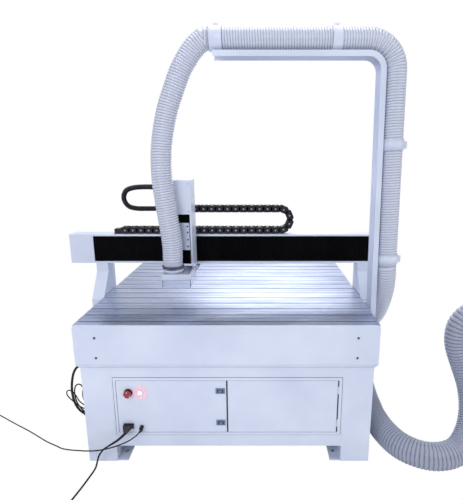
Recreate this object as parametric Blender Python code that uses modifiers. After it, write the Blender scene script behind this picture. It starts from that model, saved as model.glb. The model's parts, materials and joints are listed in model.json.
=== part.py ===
"""CNC router with a fixed T-slot table, a moving gantry, a Z column with a spindle and a dust hose on a boom.

Metres, +Z up. The origin is on the floor under the middle of the machine, +X is to the operator's right and
+Y points from the operator to the back.
"""

import math

import bmesh
import bpy
import numpy as np
from mathutils import Matrix, Vector

# ---- driving dimensions ------------------------------------------------------------------------------------

GAP = 0.0003            # between faces that touch
WELD = 0.001            # how far a welded piece reaches into its neighbour
RUNNING = 0.0005        # between faces that slide or turn

# cabinet
BASE_HALF = 0.732       # half width over the pedestals
BASE_FRONT = -0.732
BASE_BACK = 0.715
BASE_TOP = 0.540
PEDESTAL_WIDTH = 0.147
SHEET = 0.004
FOOT_FLANGE = (0.055, 0.006)
TOE_SPACE = 0.091       # floor to the underside of the cabinet
OPENING_HALF = 0.579    # opening in the front sheet
OPENING_Z = (0.155, 0.482)
SHADOW_GAP = 0.0025
PANEL_Z = (0.173, 0.462)
PANEL_FACE = -0.7325
PANEL_BACK = -0.7200
PANEL_SHEET = 0.003
CONTROL_PANEL_X = (-0.562, -0.008)
DOOR_X = (0.0, 0.555)
DOOR_REBATE = 0.0025
HINGE_PIN = (0.5587, -0.7336)
HINGE_PIN_RADIUS = 0.0027
HINGE_HEIGHTS = (0.225, 0.410)
HINGE_LENGTH = 0.040
LATCH_HEIGHTS = (0.228, 0.407)
LATCH_X = (-0.060, -0.015)

# controls on the panel: x, z
STOP_AT = (-0.502, 0.397)
STOP_COLLAR_RADIUS = 0.0215
STOP_HEAD_RADIUS = 0.0200
STOP_STEM_RADIUS = 0.0070
LAMP_AT = (-0.443, 0.397)
LAMP_RING_RADIUS = 0.0150
LAMP_RADIUS = 0.0100
INLET_AT = (-0.512, 0.208)
DATA_AT = (-0.444, 0.206)

# bed
TABLE_TOP = 0.761
TABLE_HALF = 0.747
TABLE_THICKNESS = 0.020
PLANKS = 15
COVER_FRONT = -0.750
COVER_DEPTH = 0.012
COVER_CHAMFER = 0.018
COVER_CORNER = 0.016
FRAME_SIDE = 0.705      # outer side of the bed frame, where the side rails sit
FRAME_HALF_LENGTH = 0.725
FRAME_BEAM_Z = (0.640, 0.7407)
CROSS_BARS = (-0.60, -0.30, 0.0, 0.30, 0.60)

# side (Y) drive
Y_RAIL_Z = (0.652, 0.668)
Y_RAIL_DEPTH = 0.0112
Y_SCREW_AT = (0.690, 0.600)
SCREW_RADIUS = 0.010
Y_NUT_Y = (-0.190, -0.130)
Y_BLOCKS = ((-0.265, -0.195), (-0.115, -0.045))
Y_BEARING_FRONT = (-0.650, -0.630)
Y_BEARING_BACK = (0.655, 0.675)
MOTOR_HALF = 0.0285
Y_MOTOR_LENGTH = 0.077

# gantry
UPRIGHT_X = (0.750, 0.819)
UPRIGHT_FOOT = (-0.274, -0.036, 0.600)      # front, back, bottom
UPRIGHT_KNEE = (0.745, 0.885)               # heights where the front slopes
BEAM_FRONT = -0.156
BEAM_BACK = -0.056
BEAM_Z = (0.937, 1.109)
BEAM_HALF = 0.8255
BEAM_FLANGE = 0.010
BEAM_WEB = 0.022
END_BOX_X = -0.966
X_RAIL_Z = ((0.968, 0.982), (1.064, 1.078))
X_RAIL_DEPTH = 0.012
X_SCREW_AT = (-0.112, 1.023)                # y, z

# carriage (X) and column
COLUMN_X = (-0.364, -0.214)
COLUMN_FRONT = -0.315
WING = 0.010
CARRIAGE_PLATE_Y = (-0.172, -0.160)
COLUMN_Z = (0.967, 1.246, 1.430)            # wing bottom, cover bottom, cover top
MOTOR_PLATE_Z = (1.2357, 1.2487)
MOTOR_PLATE_FRONT = -0.2245
COVER_WALL = 0.0025
SPINDLE_AT = (-0.289, -0.266)
Z_SCREW_Y = -0.1965
Z_SCREW_RADIUS = 0.006
Z_RAIL_OFFSET = 0.045
Z_RAIL_WIDTH = 0.011
CARRIER_Z = (1.047, 1.199)
CARRIER_Y = (-0.2195, -0.2045)
CARRIER_HALF = 0.061
SPINDLE_RADIUS = 0.040
SPINDLE_Z = (0.965, 1.260)
COLLET_Z = (0.905, 0.945)
TOOL_TIP = 0.872

# dust shoe
SHOE_X = (-0.3685, -0.2135)
SHOE_Y = (-0.432, -0.215)
SHOE_Z = (0.862, 0.925, 0.933)              # skirt bottom, plate underside, plate top
SHOE_WALL = 0.004
PORT_AT = (-0.315, -0.374)
PORT_RADIUS = 0.050
PORT_TOP = 0.957

# energy chain
CHAIN_Y = (-0.140, -0.080)
CHAIN_HEIGHT = 0.042
CHAIN_BEND_X = 0.278
CHAIN_BEND_RADIUS = 0.0633
CHAIN_START_X = -0.673
CHAIN_END_X = -0.340

# boom
BOOM_Y = (-0.413, -0.303)
BOOM_WALL = 0.004
BOOM_FLANGE = 0.028
BOOM_BOTTOM = 0.640
BOOM_TOP = 2.055
BOOM_FOOT_X = 0.808
BOOM_HEAD_X = 0.782
BOOM_CORNER = 0.088
BOOM_ARM_END = -0.069
HOSE_RADIUS = 0.055
HOSE_Y = -0.358
CLAMP_WALL = 0.0035
CLAMP_FIT = 0.0006
CLAMP_LIFT = 0.0009     # between a clamp's ring and the channel
ARM_CLAMPS = ((-0.0545, 0.061), (0.541, 0.047))     # middle, width
POST_CLAMPS = ((1.612, 0.056), (1.008, 0.050))
HOSE_BOOM_START = -0.093
HOSE_BOOM_END = 0.972

# large duct
DUCT_RADIUS = 0.070
REDUCER_AT = (0.8600, 0.100)
REDUCER_Z = (0.260, 0.360)

# leads
POWER_CORD_RADIUS = 0.0045
DATA_CORD_RADIUS = 0.0033
SIDE_CABLE_RADIUS = 0.0060

PAINT = ((0.78, 0.82, 0.90), 0.45, 0.0)
BLACK = ((0.012, 0.012, 0.014), 0.55, 0.0)
STEEL = ((0.60, 0.61, 0.63), 0.30, 1.0)
ALUMINIUM = ((0.66, 0.69, 0.75), 0.28, 1.0)
CLEAR = ((0.80, 0.84, 0.92), 0.20, 0.0)
GREY = ((0.45, 0.49, 0.58), 0.45, 0.0)
RED = ((0.42, 0.05, 0.06), 0.35, 0.0)
LAMP = ((0.95, 0.90, 0.90), 0.25, 0.0)

# ---- scene and modelling helpers ---------------------------------------------------------------------------

for old in list(bpy.data.objects):
    bpy.data.objects.remove(old, do_unlink=True)

parts = bpy.data.collections.new("cnc_router")
cutters = bpy.data.collections.new("cutters")
bpy.context.scene.collection.children.link(parts)
bpy.context.scene.collection.children.link(cutters)

materials = {}


def material(finish):
    """The Principled material of one finish: colour, roughness and metallic value."""
    if finish not in materials:
        colour, roughness, metallic = finish
        made = bpy.data.materials.new(f"finish_{len(materials)}")
        made.use_nodes = True
        shader = made.node_tree.nodes["Principled BSDF"]
        shader.inputs["Base Color"].default_value = (*colour, 1)
        shader.inputs["Roughness"].default_value = roughness
        shader.inputs["Metallic"].default_value = metallic
        materials[finish] = made
    return materials[finish]


def carrier(name, location, parent=None):
    """An empty on a joint's axis, which carries the pieces of one moving body."""
    empty = bpy.data.objects.new(name, None)
    parts.objects.link(empty)
    empty["world"] = location
    empty.parent = parent
    empty.location = Vector(location) - Vector(parent["world"] if parent else (0, 0, 0))
    return empty


def add(name, bm, finish, body=None, collection=parts):
    """One object from a bmesh in world coordinates. Its origin is the origin of the body that carries it."""
    mesh = bpy.data.meshes.new(name)
    bm.to_mesh(mesh)
    bm.free()
    origin = Vector(body["world"]) if body else Vector((0, 0, 0))
    mesh.transform(Matrix.Translation(-origin))
    made = bpy.data.objects.new(name, mesh)
    made.data.materials.append(material(finish))
    made.parent = body
    collection.objects.link(made)
    return made


def boolean(piece, operation, bm):
    """Joins a solid to the piece or cuts it away; the tool follows the piece's body."""
    tool = add(f"{piece.name}_{operation.lower()}", bm, PAINT, piece.parent, cutters)
    tool.hide_render = True
    tool.display_type = "WIRE"
    modifier = piece.modifiers.new(operation.lower(), "BOOLEAN")
    modifier.operation = operation
    modifier.object = tool
    return piece


def cut(piece, bm):
    return boolean(piece, "DIFFERENCE", bm)


def join(piece, bm):
    return boolean(piece, "UNION", bm)


def box(*corners):
    """Boxes, each from its lowest and highest corner, in one bmesh."""
    bm = bmesh.new()
    for low, high in corners:
        low, high = Vector(low), Vector(high)
        size = high - low
        place = Matrix.Translation((low + high) / 2) @ Matrix.Diagonal((*size, 1))
        bmesh.ops.create_cube(bm, size=1, matrix=place)
    return bm


def both_sides(low, high):
    """The corners of a box at +X and of its mirror image at -X."""
    return (low, high), ((-high[0], low[1], low[2]), (-low[0], high[1], high[2]))


def rod(start, end, radius, end_radius=None, sides=24, bm=None):
    """A cylinder or cone between two points."""
    bm = bm or bmesh.new()
    start, end = Vector(start), Vector(end)
    turn = (end - start).to_track_quat("Z", "Y").to_matrix().to_4x4()
    place = Matrix.Translation((start + end) / 2) @ turn
    top = radius if end_radius is None else end_radius
    bmesh.ops.create_cone(
        bm, cap_ends=True, segments=sides, radius1=radius, radius2=top, depth=(end - start).length, matrix=place
    )
    return bm


PLANES = {
    "XY": Matrix.Identity(4),
    "YZ": Matrix(((0, 0, 1, 0), (1, 0, 0, 0), (0, 1, 0, 0), (0, 0, 0, 1))),
    "XZ": Matrix(((1, 0, 0, 0), (0, 0, -1, 0), (0, 1, 0, 0), (0, 0, 0, 1))),
}


def prism(plane, start, end, *loops, bm=None):
    """Flat outlines (the first outside, the rest holes) in a plane, extruded from start to end across it."""
    curve = bpy.data.curves.new("outline", "CURVE")
    curve.dimensions = "2D"
    curve.fill_mode = "BOTH"
    curve.extrude = abs(end - start) / 2
    for loop in loops:
        spline = curve.splines.new("POLY")
        spline.points.add(len(loop) - 1)
        for point, (u, v) in zip(spline.points, loop):
            point.co = (u, v, 0, 1)
        spline.use_cyclic_u = True
    guide = bpy.data.objects.new("outline", curve)
    mesh = bpy.data.meshes.new_from_object(guide)
    middle = (start + end) / 2
    across = {"XY": (0, 0, middle), "YZ": (middle, 0, 0), "XZ": (0, middle, 0)}[plane]
    mesh.transform(Matrix.Translation(across) @ PLANES[plane])
    bm = bm or bmesh.new()
    bm.from_mesh(mesh)
    bmesh.ops.remove_doubles(bm, verts=bm.verts, dist=0.00002)
    bpy.data.objects.remove(guide)
    return bm


def rectangle(low_u, high_u, low_v, high_v):
    return [(low_u, low_v), (high_u, low_v), (high_u, high_v), (low_u, high_v)]


def circle(u, v, radius, sides=24):
    turn = [2 * math.pi * i / sides for i in range(sides)]
    return [(u + radius * math.cos(a), v + radius * math.sin(a)) for a in turn]


def mirrored(loop):
    """The same outline at -X."""
    return [(-u, v) for u, v in reversed(loop)]


def arc(u, v, radius, start, end, steps):
    """Points of an arc, its angles in degrees."""
    angles = np.radians(np.linspace(start, end, steps + 1))
    return [(u + radius * math.cos(a), v + radius * math.sin(a)) for a in angles]


def turned(profile, sides=24):
    """A solid turned about Z from a profile of (radius, height) that starts and ends on the axis."""
    bm = bmesh.new()
    rows = []
    for radius, height in profile:
        if radius == 0:
            rows.append([bm.verts.new((0, 0, height))])
        else:
            rows.append([bm.verts.new((x, y, height)) for x, y in circle(0, 0, radius, sides)])
    for lower, upper in zip(rows, rows[1:]):
        for i in range(sides):
            ring = [lower[i % len(lower)], lower[(i + 1) % len(lower)]]
            ring += [upper[(i + 1) % len(upper)], upper[i % len(upper)]]
            bm.faces.new(list(dict.fromkeys(ring)))
    bmesh.ops.recalc_face_normals(bm, faces=bm.faces)
    return bm


def smooth_route(points, spacing, leaves=None, arrives=None, stub=0.004):
    """Evenly spaced points on a smooth curve through hand-chosen route points.

    A direction that it leaves or arrives in adds a short straight stub there, so that its end face is square.
    """
    route = np.array(points, float)
    if leaves is not None:
        route[0] = route[0] + stub * np.array(Vector(leaves).normalized())
    if arrives is not None:
        route[-1] = route[-1] - stub * np.array(Vector(arrives).normalized())
    ends = np.vstack([2 * route[0] - route[1], route, 2 * route[-1] - route[-2]])
    fine = []
    for a, b, c, d in zip(ends, ends[1:], ends[2:], ends[3:]):
        chords = np.sqrt([np.linalg.norm(b - a), np.linalg.norm(c - b), np.linalg.norm(d - c)])
        leave = (b - a) * chords[1] / chords[0] - (c - a) * chords[1] / (chords[0] + chords[1]) + (c - b)
        arrive = (d - c) * chords[1] / chords[2] - (d - b) * chords[1] / (chords[1] + chords[2]) + (c - b)
        for t in np.linspace(0, 1, 24, endpoint=False):
            h = (2 * t**3 - 3 * t**2 + 1, t**3 - 2 * t**2 + t, -2 * t**3 + 3 * t**2, t**3 - t**2)
            fine.append(h[0] * b + h[1] * leave + h[2] * c + h[3] * arrive)
    fine = np.array(fine + [route[-1]])
    along = np.concatenate([[0], np.cumsum(np.linalg.norm(np.diff(fine, axis=0), axis=1))])
    count = max(2, int(round(along[-1] / spacing)) + 1)
    at = np.linspace(0, along[-1], count)
    curve = np.column_stack([np.interp(at, along, fine[:, k]) for k in range(3)])
    start = np.array(points[:1], float) if leaves is not None else curve[:0]
    end = np.array(points[-1:], float) if arrives is not None else curve[:0]
    return np.vstack([start, curve, end])


def tube(name, points, radius, finish, body=None, resolution=2):
    """A round tube with closed ends along points."""
    curve = bpy.data.curves.new(name, "CURVE")
    curve.dimensions = "3D"
    curve.bevel_depth = radius
    curve.bevel_resolution = resolution
    curve.use_fill_caps = True
    spline = curve.splines.new("POLY")
    spline.points.add(len(points) - 1)
    for point, place in zip(spline.points, points):
        point.co = (*place, 1)
    curve.materials.append(material(finish))
    made = bpy.data.objects.new(name, curve)
    if body:
        made.parent = body
        made.location = -Vector(body["world"])
    parts.objects.link(made)
    return made


def bevel(piece, width, segments=1):
    modifier = piece.modifiers.new("edges", "BEVEL")
    modifier.width = width
    modifier.segments = segments
    modifier.limit_method = "ANGLE"
    return piece


# ---- carriers of the moving bodies -------------------------------------------------------------------------

gantry = carrier("gantry_slide", (0, -0.106, 1.023))
carriage = carrier("carriage_slide", (SPINDLE_AT[0], -0.166, 1.023), gantry)
z_slide = carrier("z_slide", (*SPINDLE_AT, 1.123), carriage)
spindle = carrier("spindle_axis", (*SPINDLE_AT, SPINDLE_Z[0]), z_slide)
x_screw_axis = carrier("x_screw_axis", (0, *X_SCREW_AT), gantry)
z_screw_axis = carrier("z_screw_axis", (SPINDLE_AT[0], Z_SCREW_Y, 1.0), carriage)
y_screw_axis = {side: carrier(f"y_screw_axis_{name}", (side * Y_SCREW_AT[0], 0, Y_SCREW_AT[1]))
                for side, name in ((-1, "left"), (1, "right"))}
door_hinge = carrier("door_hinge_axis", (*HINGE_PIN, 0.3175))
stop_axis = carrier("stop_button_axis", (STOP_AT[0], PANEL_FACE, STOP_AT[1]))
lamp_axis = carrier("power_button_axis", (LAMP_AT[0], PANEL_FACE, LAMP_AT[1]))


# ---- cabinet -----------------------------------------------------------------------------------------------


def pedestals():
    """Left and right leg boxes of folded sheet, open above and below, with a foot flange turned inwards."""
    inner = BASE_HALF - PEDESTAL_WIDTH
    outside = rectangle(inner, BASE_HALF, BASE_FRONT, BASE_BACK)
    hollow = rectangle(inner + SHEET, BASE_HALF - SHEET, BASE_FRONT + SHEET, BASE_BACK - SHEET)
    width, thick = FOOT_FLANGE
    flanges = both_sides((inner - width, BASE_FRONT + SHEET, 0), (inner + SHEET / 2, BASE_BACK - SHEET, thick))
    piece = add("pedestal_right", prism("XY", 0, BASE_TOP, outside, hollow), PAINT)
    join(piece, box(flanges[0]))
    piece = add("pedestal_left", prism("XY", 0, BASE_TOP, mirrored(outside), mirrored(hollow)), PAINT)
    join(piece, box(flanges[1]))


def front_frame():
    """The front sheet between the pedestals, with one wide opening."""
    half = BASE_HALF - PEDESTAL_WIDTH - GAP
    outside = rectangle(-half, half, TOE_SPACE, BASE_TOP)
    opening = rectangle(-OPENING_HALF, OPENING_HALF, *OPENING_Z)
    return add("front_frame", prism("XZ", BASE_FRONT, BASE_FRONT + SHEET, outside, opening), PAINT)


def door_frame():
    """The rebated inner frame: a front ring in the opening, a flange behind the sheet and a middle post."""
    low, high = OPENING_Z
    face = box(((-OPENING_HALF + SHADOW_GAP, PANEL_FACE - 0.001, low + SHADOW_GAP),
                (OPENING_HALF - SHADOW_GAP, BASE_FRONT + 0.010, high - SHADOW_GAP)))
    piece = add("door_frame", face, PAINT)
    flange_half = BASE_HALF - PEDESTAL_WIDTH - 2 * GAP
    back = PANEL_BACK + 0.0083
    join(piece, box(((-flange_half, BASE_FRONT + SHEET + GAP, low - 0.005), (flange_half, back, high + 0.005))))
    rebate = (CONTROL_PANEL_X[0] - DOOR_REBATE, DOOR_X[1] + 0.007, PANEL_Z[0] - DOOR_REBATE, PANEL_Z[1] + DOOR_REBATE)
    front_cut = ((rebate[0], -1, rebate[2]), (rebate[1], PANEL_BACK + GAP, rebate[3]))
    cut(piece, box(front_cut))
    ledge = 0.017
    left_cut = ((rebate[0] + ledge, -1, rebate[2] + ledge), (-0.030, 0, rebate[3] - ledge))
    right_cut = ((0.030, -1, rebate[2] + ledge), (rebate[1] - ledge, 0, rebate[3] - ledge))
    cut(piece, box(left_cut, right_cut))
    x, y = HINGE_PIN
    pins = bmesh.new()
    leaves = []
    for height in HINGE_HEIGHTS:
        bottom, top = height - HINGE_LENGTH / 2, height + HINGE_LENGTH / 2
        rod((x, y, bottom), (x, y, top), HINGE_PIN_RADIUS, sides=16, bm=pins)
        leaves.append(((x + 0.0005, y + 0.0001, bottom + WELD), (rebate[1] + WELD, y + 0.011, top - WELD)))
    join(piece, box(*leaves))
    return join(piece, pins)


def tray(name, span, body=None):
    """A folded sheet panel: a face with its edges turned back."""
    low, high = PANEL_Z
    piece = add(name, box(((span[0], PANEL_FACE, low), (span[1], PANEL_BACK, high))), PAINT, body)
    wall = PANEL_SHEET
    inside = ((span[0] + wall, PANEL_FACE + wall, low + wall), (span[1] - wall, PANEL_BACK + 0.01, high - wall))
    return cut(piece, box(inside))


def control_panel():
    """The fixed left panel with its lamp ring, data socket and latch cases, bored for both buttons."""
    piece = tray("control_panel", CONTROL_PANEL_X)
    (stop_x, stop_z), (lamp_x, lamp_z) = STOP_AT, LAMP_AT
    stem = STOP_STEM_RADIUS + RUNNING
    bores = rod((stop_x, PANEL_FACE - 0.01, stop_z), (stop_x, PANEL_BACK, stop_z), stem)
    rod((lamp_x, PANEL_FACE - 0.01, lamp_z), (lamp_x, PANEL_BACK, lamp_z), LAMP_RADIUS + RUNNING, bm=bores)
    cut(piece, bores)
    face = PANEL_FACE + WELD
    rims = prism("XZ", PANEL_FACE - 0.0040, face, circle(lamp_x, lamp_z, LAMP_RING_RADIUS),
                 circle(lamp_x, lamp_z, LAMP_RADIUS + RUNNING))
    prism("XZ", PANEL_FACE - 0.0040, face, circle(*DATA_AT, 0.0125), bm=rims)
    for height in LATCH_HEIGHTS:
        prism("XZ", PANEL_FACE - 0.0030, face, rectangle(*LATCH_X, height - 0.014, height + 0.014), bm=rims)
    return join(piece, rims)


def panel_fittings():
    """The stop button's collar and the mains inlet, screwed to the control panel."""
    face = PANEL_FACE - GAP
    stop_x, stop_z = STOP_AT
    collar = prism("XZ", face - 0.0080, face, circle(stop_x, stop_z, STOP_COLLAR_RADIUS),
                   circle(stop_x, stop_z, STOP_STEM_RADIUS + RUNNING))
    add("e_stop_collar", collar, BLACK)
    x, z = INLET_AT
    add("mains_inlet", box(((x - 0.026, face - 0.0032, z - 0.015), (x + 0.026, face, z + 0.015))), BLACK)


def latch_thumbs():
    """The sliding thumb pieces of the two door latches, one body each."""
    middle = sum(LATCH_X) / 2
    face = PANEL_FACE - 2 * GAP - 0.0030
    for name, height in zip(("lower", "upper"), LATCH_HEIGHTS):
        axis = carrier(f"latch_{name}_axis", (middle, face, height))
        corners = ((middle - 0.009, face - 0.0030, height - 0.006), (middle + 0.009, face, height + 0.006))
        add(f"latch_thumb_{name}", box(corners), GREY, axis)


def stop_button():
    """Mushroom head on a stem that runs through its collar and the panel."""
    x, z = STOP_AT
    front = PANEL_FACE - 0.0330
    profile = ((0, 0), (STOP_STEM_RADIUS, 0), (STOP_STEM_RADIUS, 0.0185), (0.0125, 0.0185),
               (STOP_HEAD_RADIUS - 0.001, 0.0225), (STOP_HEAD_RADIUS, 0.0265), (STOP_HEAD_RADIUS - 0.002, 0.0305),
               (0.0140, 0.0340), (0, 0.0355))
    bm = turned(profile)
    bm.transform(Matrix.Translation((x, front + 0.0355, z)) @ Matrix.Rotation(math.pi / 2, 4, "X"))
    return add("e_stop_head", bm, RED, stop_axis)


def power_button():
    """Lit push button in its ring."""
    x, z = LAMP_AT
    return add("power_button", rod((x, PANEL_FACE - 0.0052, z), (x, PANEL_FACE + 0.0020, z), LAMP_RADIUS), LAMP,
               lamp_axis)


def cabinet_shell():
    """Floor and rear wall between the pedestals, one folded sheet."""
    half = BASE_HALF - PEDESTAL_WIDTH - GAP
    section = [(BASE_FRONT + SHEET + GAP, TOE_SPACE), (BASE_BACK, TOE_SPACE), (BASE_BACK, BASE_TOP),
               (BASE_BACK - SHEET, BASE_TOP), (BASE_BACK - SHEET, TOE_SPACE + SHEET),
               (BASE_FRONT + SHEET + GAP, TOE_SPACE + SHEET)]
    return add("cabinet_shell", prism("YZ", -half, half, section), PAINT)


def control_unit():
    """Drive electronics in the left half of the cabinet."""
    floor = TOE_SPACE + SHEET + GAP
    piece = add("control_unit", box(((-0.500, 0.250, floor), (-0.120, 0.560, 0.400))), GREY)
    return bevel(piece, 0.006)


# ---- bed ---------------------------------------------------------------------------------------------------


def bed_frame():
    """Welded tubes: two lower bars, two side beams with their rails, five cross channels, four screw bearings."""
    wall = 0.005
    lower = (0.590, 0.650, BASE_TOP + GAP, FRAME_BEAM_Z[0] + WELD)
    upper = (0.600, FRAME_SIDE, *FRAME_BEAM_Z)
    tubes_at = []
    for span, half in ((upper, FRAME_HALF_LENGTH), (lower, 0.700)):
        outside = rectangle(*span)
        hollow = rectangle(span[0] + wall, span[1] - wall, span[2] + wall, span[3] - wall)
        bm = prism("XZ", -half, half, outside, hollow)
        tubes_at.append(prism("XZ", -half, half, mirrored(outside), mirrored(hollow), bm=bm))
    piece = add("bed_frame", tubes_at[0], PAINT)
    join(piece, tubes_at[1])
    top, inner, low = FRAME_BEAM_Z[1], 0.600 + WELD, 0.680
    channels = bmesh.new()
    for middle in CROSS_BARS:
        left, right = middle - 0.030, middle + 0.030
        section = [(left, low), (left + wall, low), (left + wall, top - wall), (right - wall, top - wall),
                   (right - wall, low), (right, low), (right, top), (left, top)]
        prism("YZ", -inner, inner, section, bm=channels)
    join(piece, channels)
    side = FRAME_SIDE - WELD
    rails = both_sides((side, -FRAME_HALF_LENGTH + WELD, Y_RAIL_Z[0]), (FRAME_SIDE + Y_RAIL_DEPTH, FRAME_HALF_LENGTH - WELD, Y_RAIL_Z[1]))
    join(piece, box(*rails))
    x, z = Y_SCREW_AT
    bearings = bmesh.new()
    for span in (Y_BEARING_FRONT, Y_BEARING_BACK):
        outside = rectangle(0.650 - WELD, x + 0.020, z - 0.018, z + 0.018)
        prism("XZ", *span, outside, circle(x, z, SCREW_RADIUS + RUNNING), bm=bearings)
        prism("XZ", *span, mirrored(outside), circle(-x, z, SCREW_RADIUS + RUNNING), bm=bearings)
    return join(piece, bearings)


def table():
    """Aluminium T-slot table, one section with a slot along the middle of every plank."""
    front = COVER_FRONT + COVER_DEPTH + GAP
    pitch = -2 * front / PLANKS
    top, bottom = TABLE_TOP, TABLE_TOP - TABLE_THICKNESS
    mouth, wide, lip, depth = 0.005, 0.010, 0.006, 0.014
    section = [(front, bottom), (-front, bottom), (-front, top)]
    for i in reversed(range(PLANKS)):
        y = front + pitch * (i + 0.5)
        section += [(y + mouth, top), (y + mouth, top - lip), (y + wide, top - lip), (y + wide, top - depth),
                    (y - wide, top - depth), (y - wide, top - lip), (y - mouth, top - lip), (y - mouth, top)]
    section += [(front, top)]
    return add("table", prism("YZ", -TABLE_HALF, TABLE_HALF, section), ALUMINIUM)


def end_cover(name, face, inward):
    """A folded cover over one end of the bed, with rounded top corners and a chamfered lower edge."""
    back = face + inward * COVER_DEPTH
    low_z = BASE_TOP + GAP
    corner = arc(TABLE_HALF - COVER_CORNER, TABLE_TOP - COVER_CORNER, COVER_CORNER, 0, 90, 4)
    half = [(TABLE_HALF - 0.75 * COVER_CHAMFER, low_z), (TABLE_HALF, low_z + COVER_CHAMFER), *corner]
    outline = half + [(-u, v) for u, v in reversed(half)]
    piece = add(name, prism("XZ", min(face, back), max(face, back), outline), PAINT)
    tilt = [(face - inward, low_z - 1), (face + inward * 0.010, low_z - 0.001), (face - inward * 0.001, low_z + COVER_CHAMFER),
            (face - inward, low_z + COVER_CHAMFER)]
    if inward < 0:
        tilt = tilt[::-1]
    cut(piece, prism("YZ", -1, 1, tilt))
    wall = 0.003
    pocket = ((-TABLE_HALF + 0.02, min(face + inward * wall, back + inward), low_z + COVER_CHAMFER + 0.004),
              (TABLE_HALF - 0.02, max(face + inward * wall, back + inward), TABLE_TOP - COVER_CORNER))
    return cut(piece, box(pocket))


def y_motors():
    """Motors of the two side screws, bolted to the front bearings."""
    x, z = Y_SCREW_AT
    back = Y_BEARING_FRONT[0] - GAP
    low, high = (x - MOTOR_HALF, back - Y_MOTOR_LENGTH, z - MOTOR_HALF), (x + MOTOR_HALF, back, z + MOTOR_HALF)
    for name, corners in zip(("right", "left"), both_sides(low, high)):
        bevel(add(f"y_motor_{name}", box(corners), BLACK), 0.004)


def screws():
    """The four ball screws, plain rods that turn in their bearings and nuts."""
    for side, name in ((-1, "left"), (1, "right")):
        x, z = side * Y_SCREW_AT[0], Y_SCREW_AT[1]
        bm = rod((x, Y_BEARING_FRONT[0] + GAP, z), (x, Y_BEARING_BACK[1], z), SCREW_RADIUS, sides=16)
        add(f"y_screw_{name}", bm, STEEL, y_screw_axis[side])
    y, z = X_SCREW_AT
    add("x_screw", rod((-0.879, y, z), (0.818, y, z), SCREW_RADIUS, sides=16), STEEL, x_screw_axis)
    x = SPINDLE_AT[0]
    add("z_screw", rod((x, Z_SCREW_Y, 0.9703), (x, Z_SCREW_Y, MOTOR_PLATE_Z[1] - GAP), Z_SCREW_RADIUS, sides=16), STEEL,
        z_screw_axis)


# ---- gantry ------------------------------------------------------------------------------------------------


def uprights():
    """The dog-leg side plates that carry the beam past the bed, with their rail blocks and screw nuts."""
    front, back, bottom = UPRIGHT_FOOT
    knee, shoulder = UPRIGHT_KNEE
    top = BEAM_Z[0] - GAP
    outline = [(front, bottom), (back, bottom), (back, top), (BEAM_FRONT, top), (BEAM_FRONT, shoulder), (front, knee)]
    inner, outer = FRAME_SIDE + 0.005, UPRIGHT_X[0] + WELD
    groove = FRAME_SIDE + Y_RAIL_DEPTH + RUNNING
    low, high = Y_RAIL_Z[0] - RUNNING, Y_RAIL_Z[1] + RUNNING
    block = [(outer, 0.630), (outer, 0.690), (inner, 0.690), (inner, high), (groove, high), (groove, low),
             (inner, low), (inner, 0.630)]
    x, z = Y_SCREW_AT
    nut = rectangle(x - 0.018, outer, z - 0.018, z + 0.018)
    bore = circle(x, z, SCREW_RADIUS + RUNNING)
    for side, name in ((-1, "left"), (1, "right")):
        turn = (lambda loop: loop) if side > 0 else mirrored
        piece = add(f"upright_{name}", prism("YZ", side * UPRIGHT_X[0], side * UPRIGHT_X[1], outline), PAINT, gantry)
        bm = prism("XZ", *Y_NUT_Y, turn(nut), turn(bore))
        for span in Y_BLOCKS:
            prism("XZ", *span, turn(block), bm=bm)
        join(piece, bm)


def gantry_beam():
    """A channel that opens to the front, with its rails, screw bearings and the plate that closes its right end."""
    low, high = BEAM_Z
    web = BEAM_BACK - BEAM_WEB
    section = [(BEAM_FRONT, low), (BEAM_BACK, low), (BEAM_BACK, high), (BEAM_FRONT, high),
               (BEAM_FRONT, high - BEAM_FLANGE), (web, high - BEAM_FLANGE), (web, low + BEAM_FLANGE),
               (BEAM_FRONT, low + BEAM_FLANGE)]
    piece = add("gantry_beam", prism("YZ", -BEAM_HALF, BEAM_HALF, section), PAINT, gantry)
    join(piece, box(((BEAM_HALF - 0.005, BEAM_FRONT, low), (BEAM_HALF + 0.004, BEAM_BACK, high))))
    rails = [((-0.795, web - X_RAIL_DEPTH, bottom), (0.795, web + WELD, top)) for bottom, top in X_RAIL_Z]
    join(piece, box(*rails))
    y, z = X_SCREW_AT
    bearings = bmesh.new()
    for span in ((-0.820, -0.800), (0.797, 0.8175)):
        prism("YZ", *span, rectangle(y - 0.018, web + WELD, z - 0.030, z + 0.030), circle(y, z, SCREW_RADIUS + RUNNING),
              bm=bearings)
    return join(piece, bearings)


def motor_end_box():
    """The cover of the X motor, open towards the beam."""
    low, high = BEAM_Z
    right = -BEAM_HALF - GAP
    piece = add("motor_end_box", box(((END_BOX_X, BEAM_FRONT, low), (right, BEAM_BACK, high))), PAINT, gantry)
    wall = COVER_WALL
    inside = ((END_BOX_X + wall, BEAM_FRONT + wall, low + wall), (right + 0.01, BEAM_BACK - wall, high - wall))
    return cut(piece, box(inside))


def x_motor():
    """Motor of the X screw with the coupling housing that bolts it to the beam's end."""
    y, z = X_SCREW_AT
    half = MOTOR_HALF
    housing = prism("YZ", -0.8795, -BEAM_HALF - 2 * GAP, rectangle(y - half, y + half, z - half, z + half),
                    circle(y, z, SCREW_RADIUS + RUNNING))
    piece = add("x_motor", housing, BLACK, gantry)
    return join(piece, box(((-0.955, y - half, z - half), (-0.8795 + 0.0001, y + half, z + half))))


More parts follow.
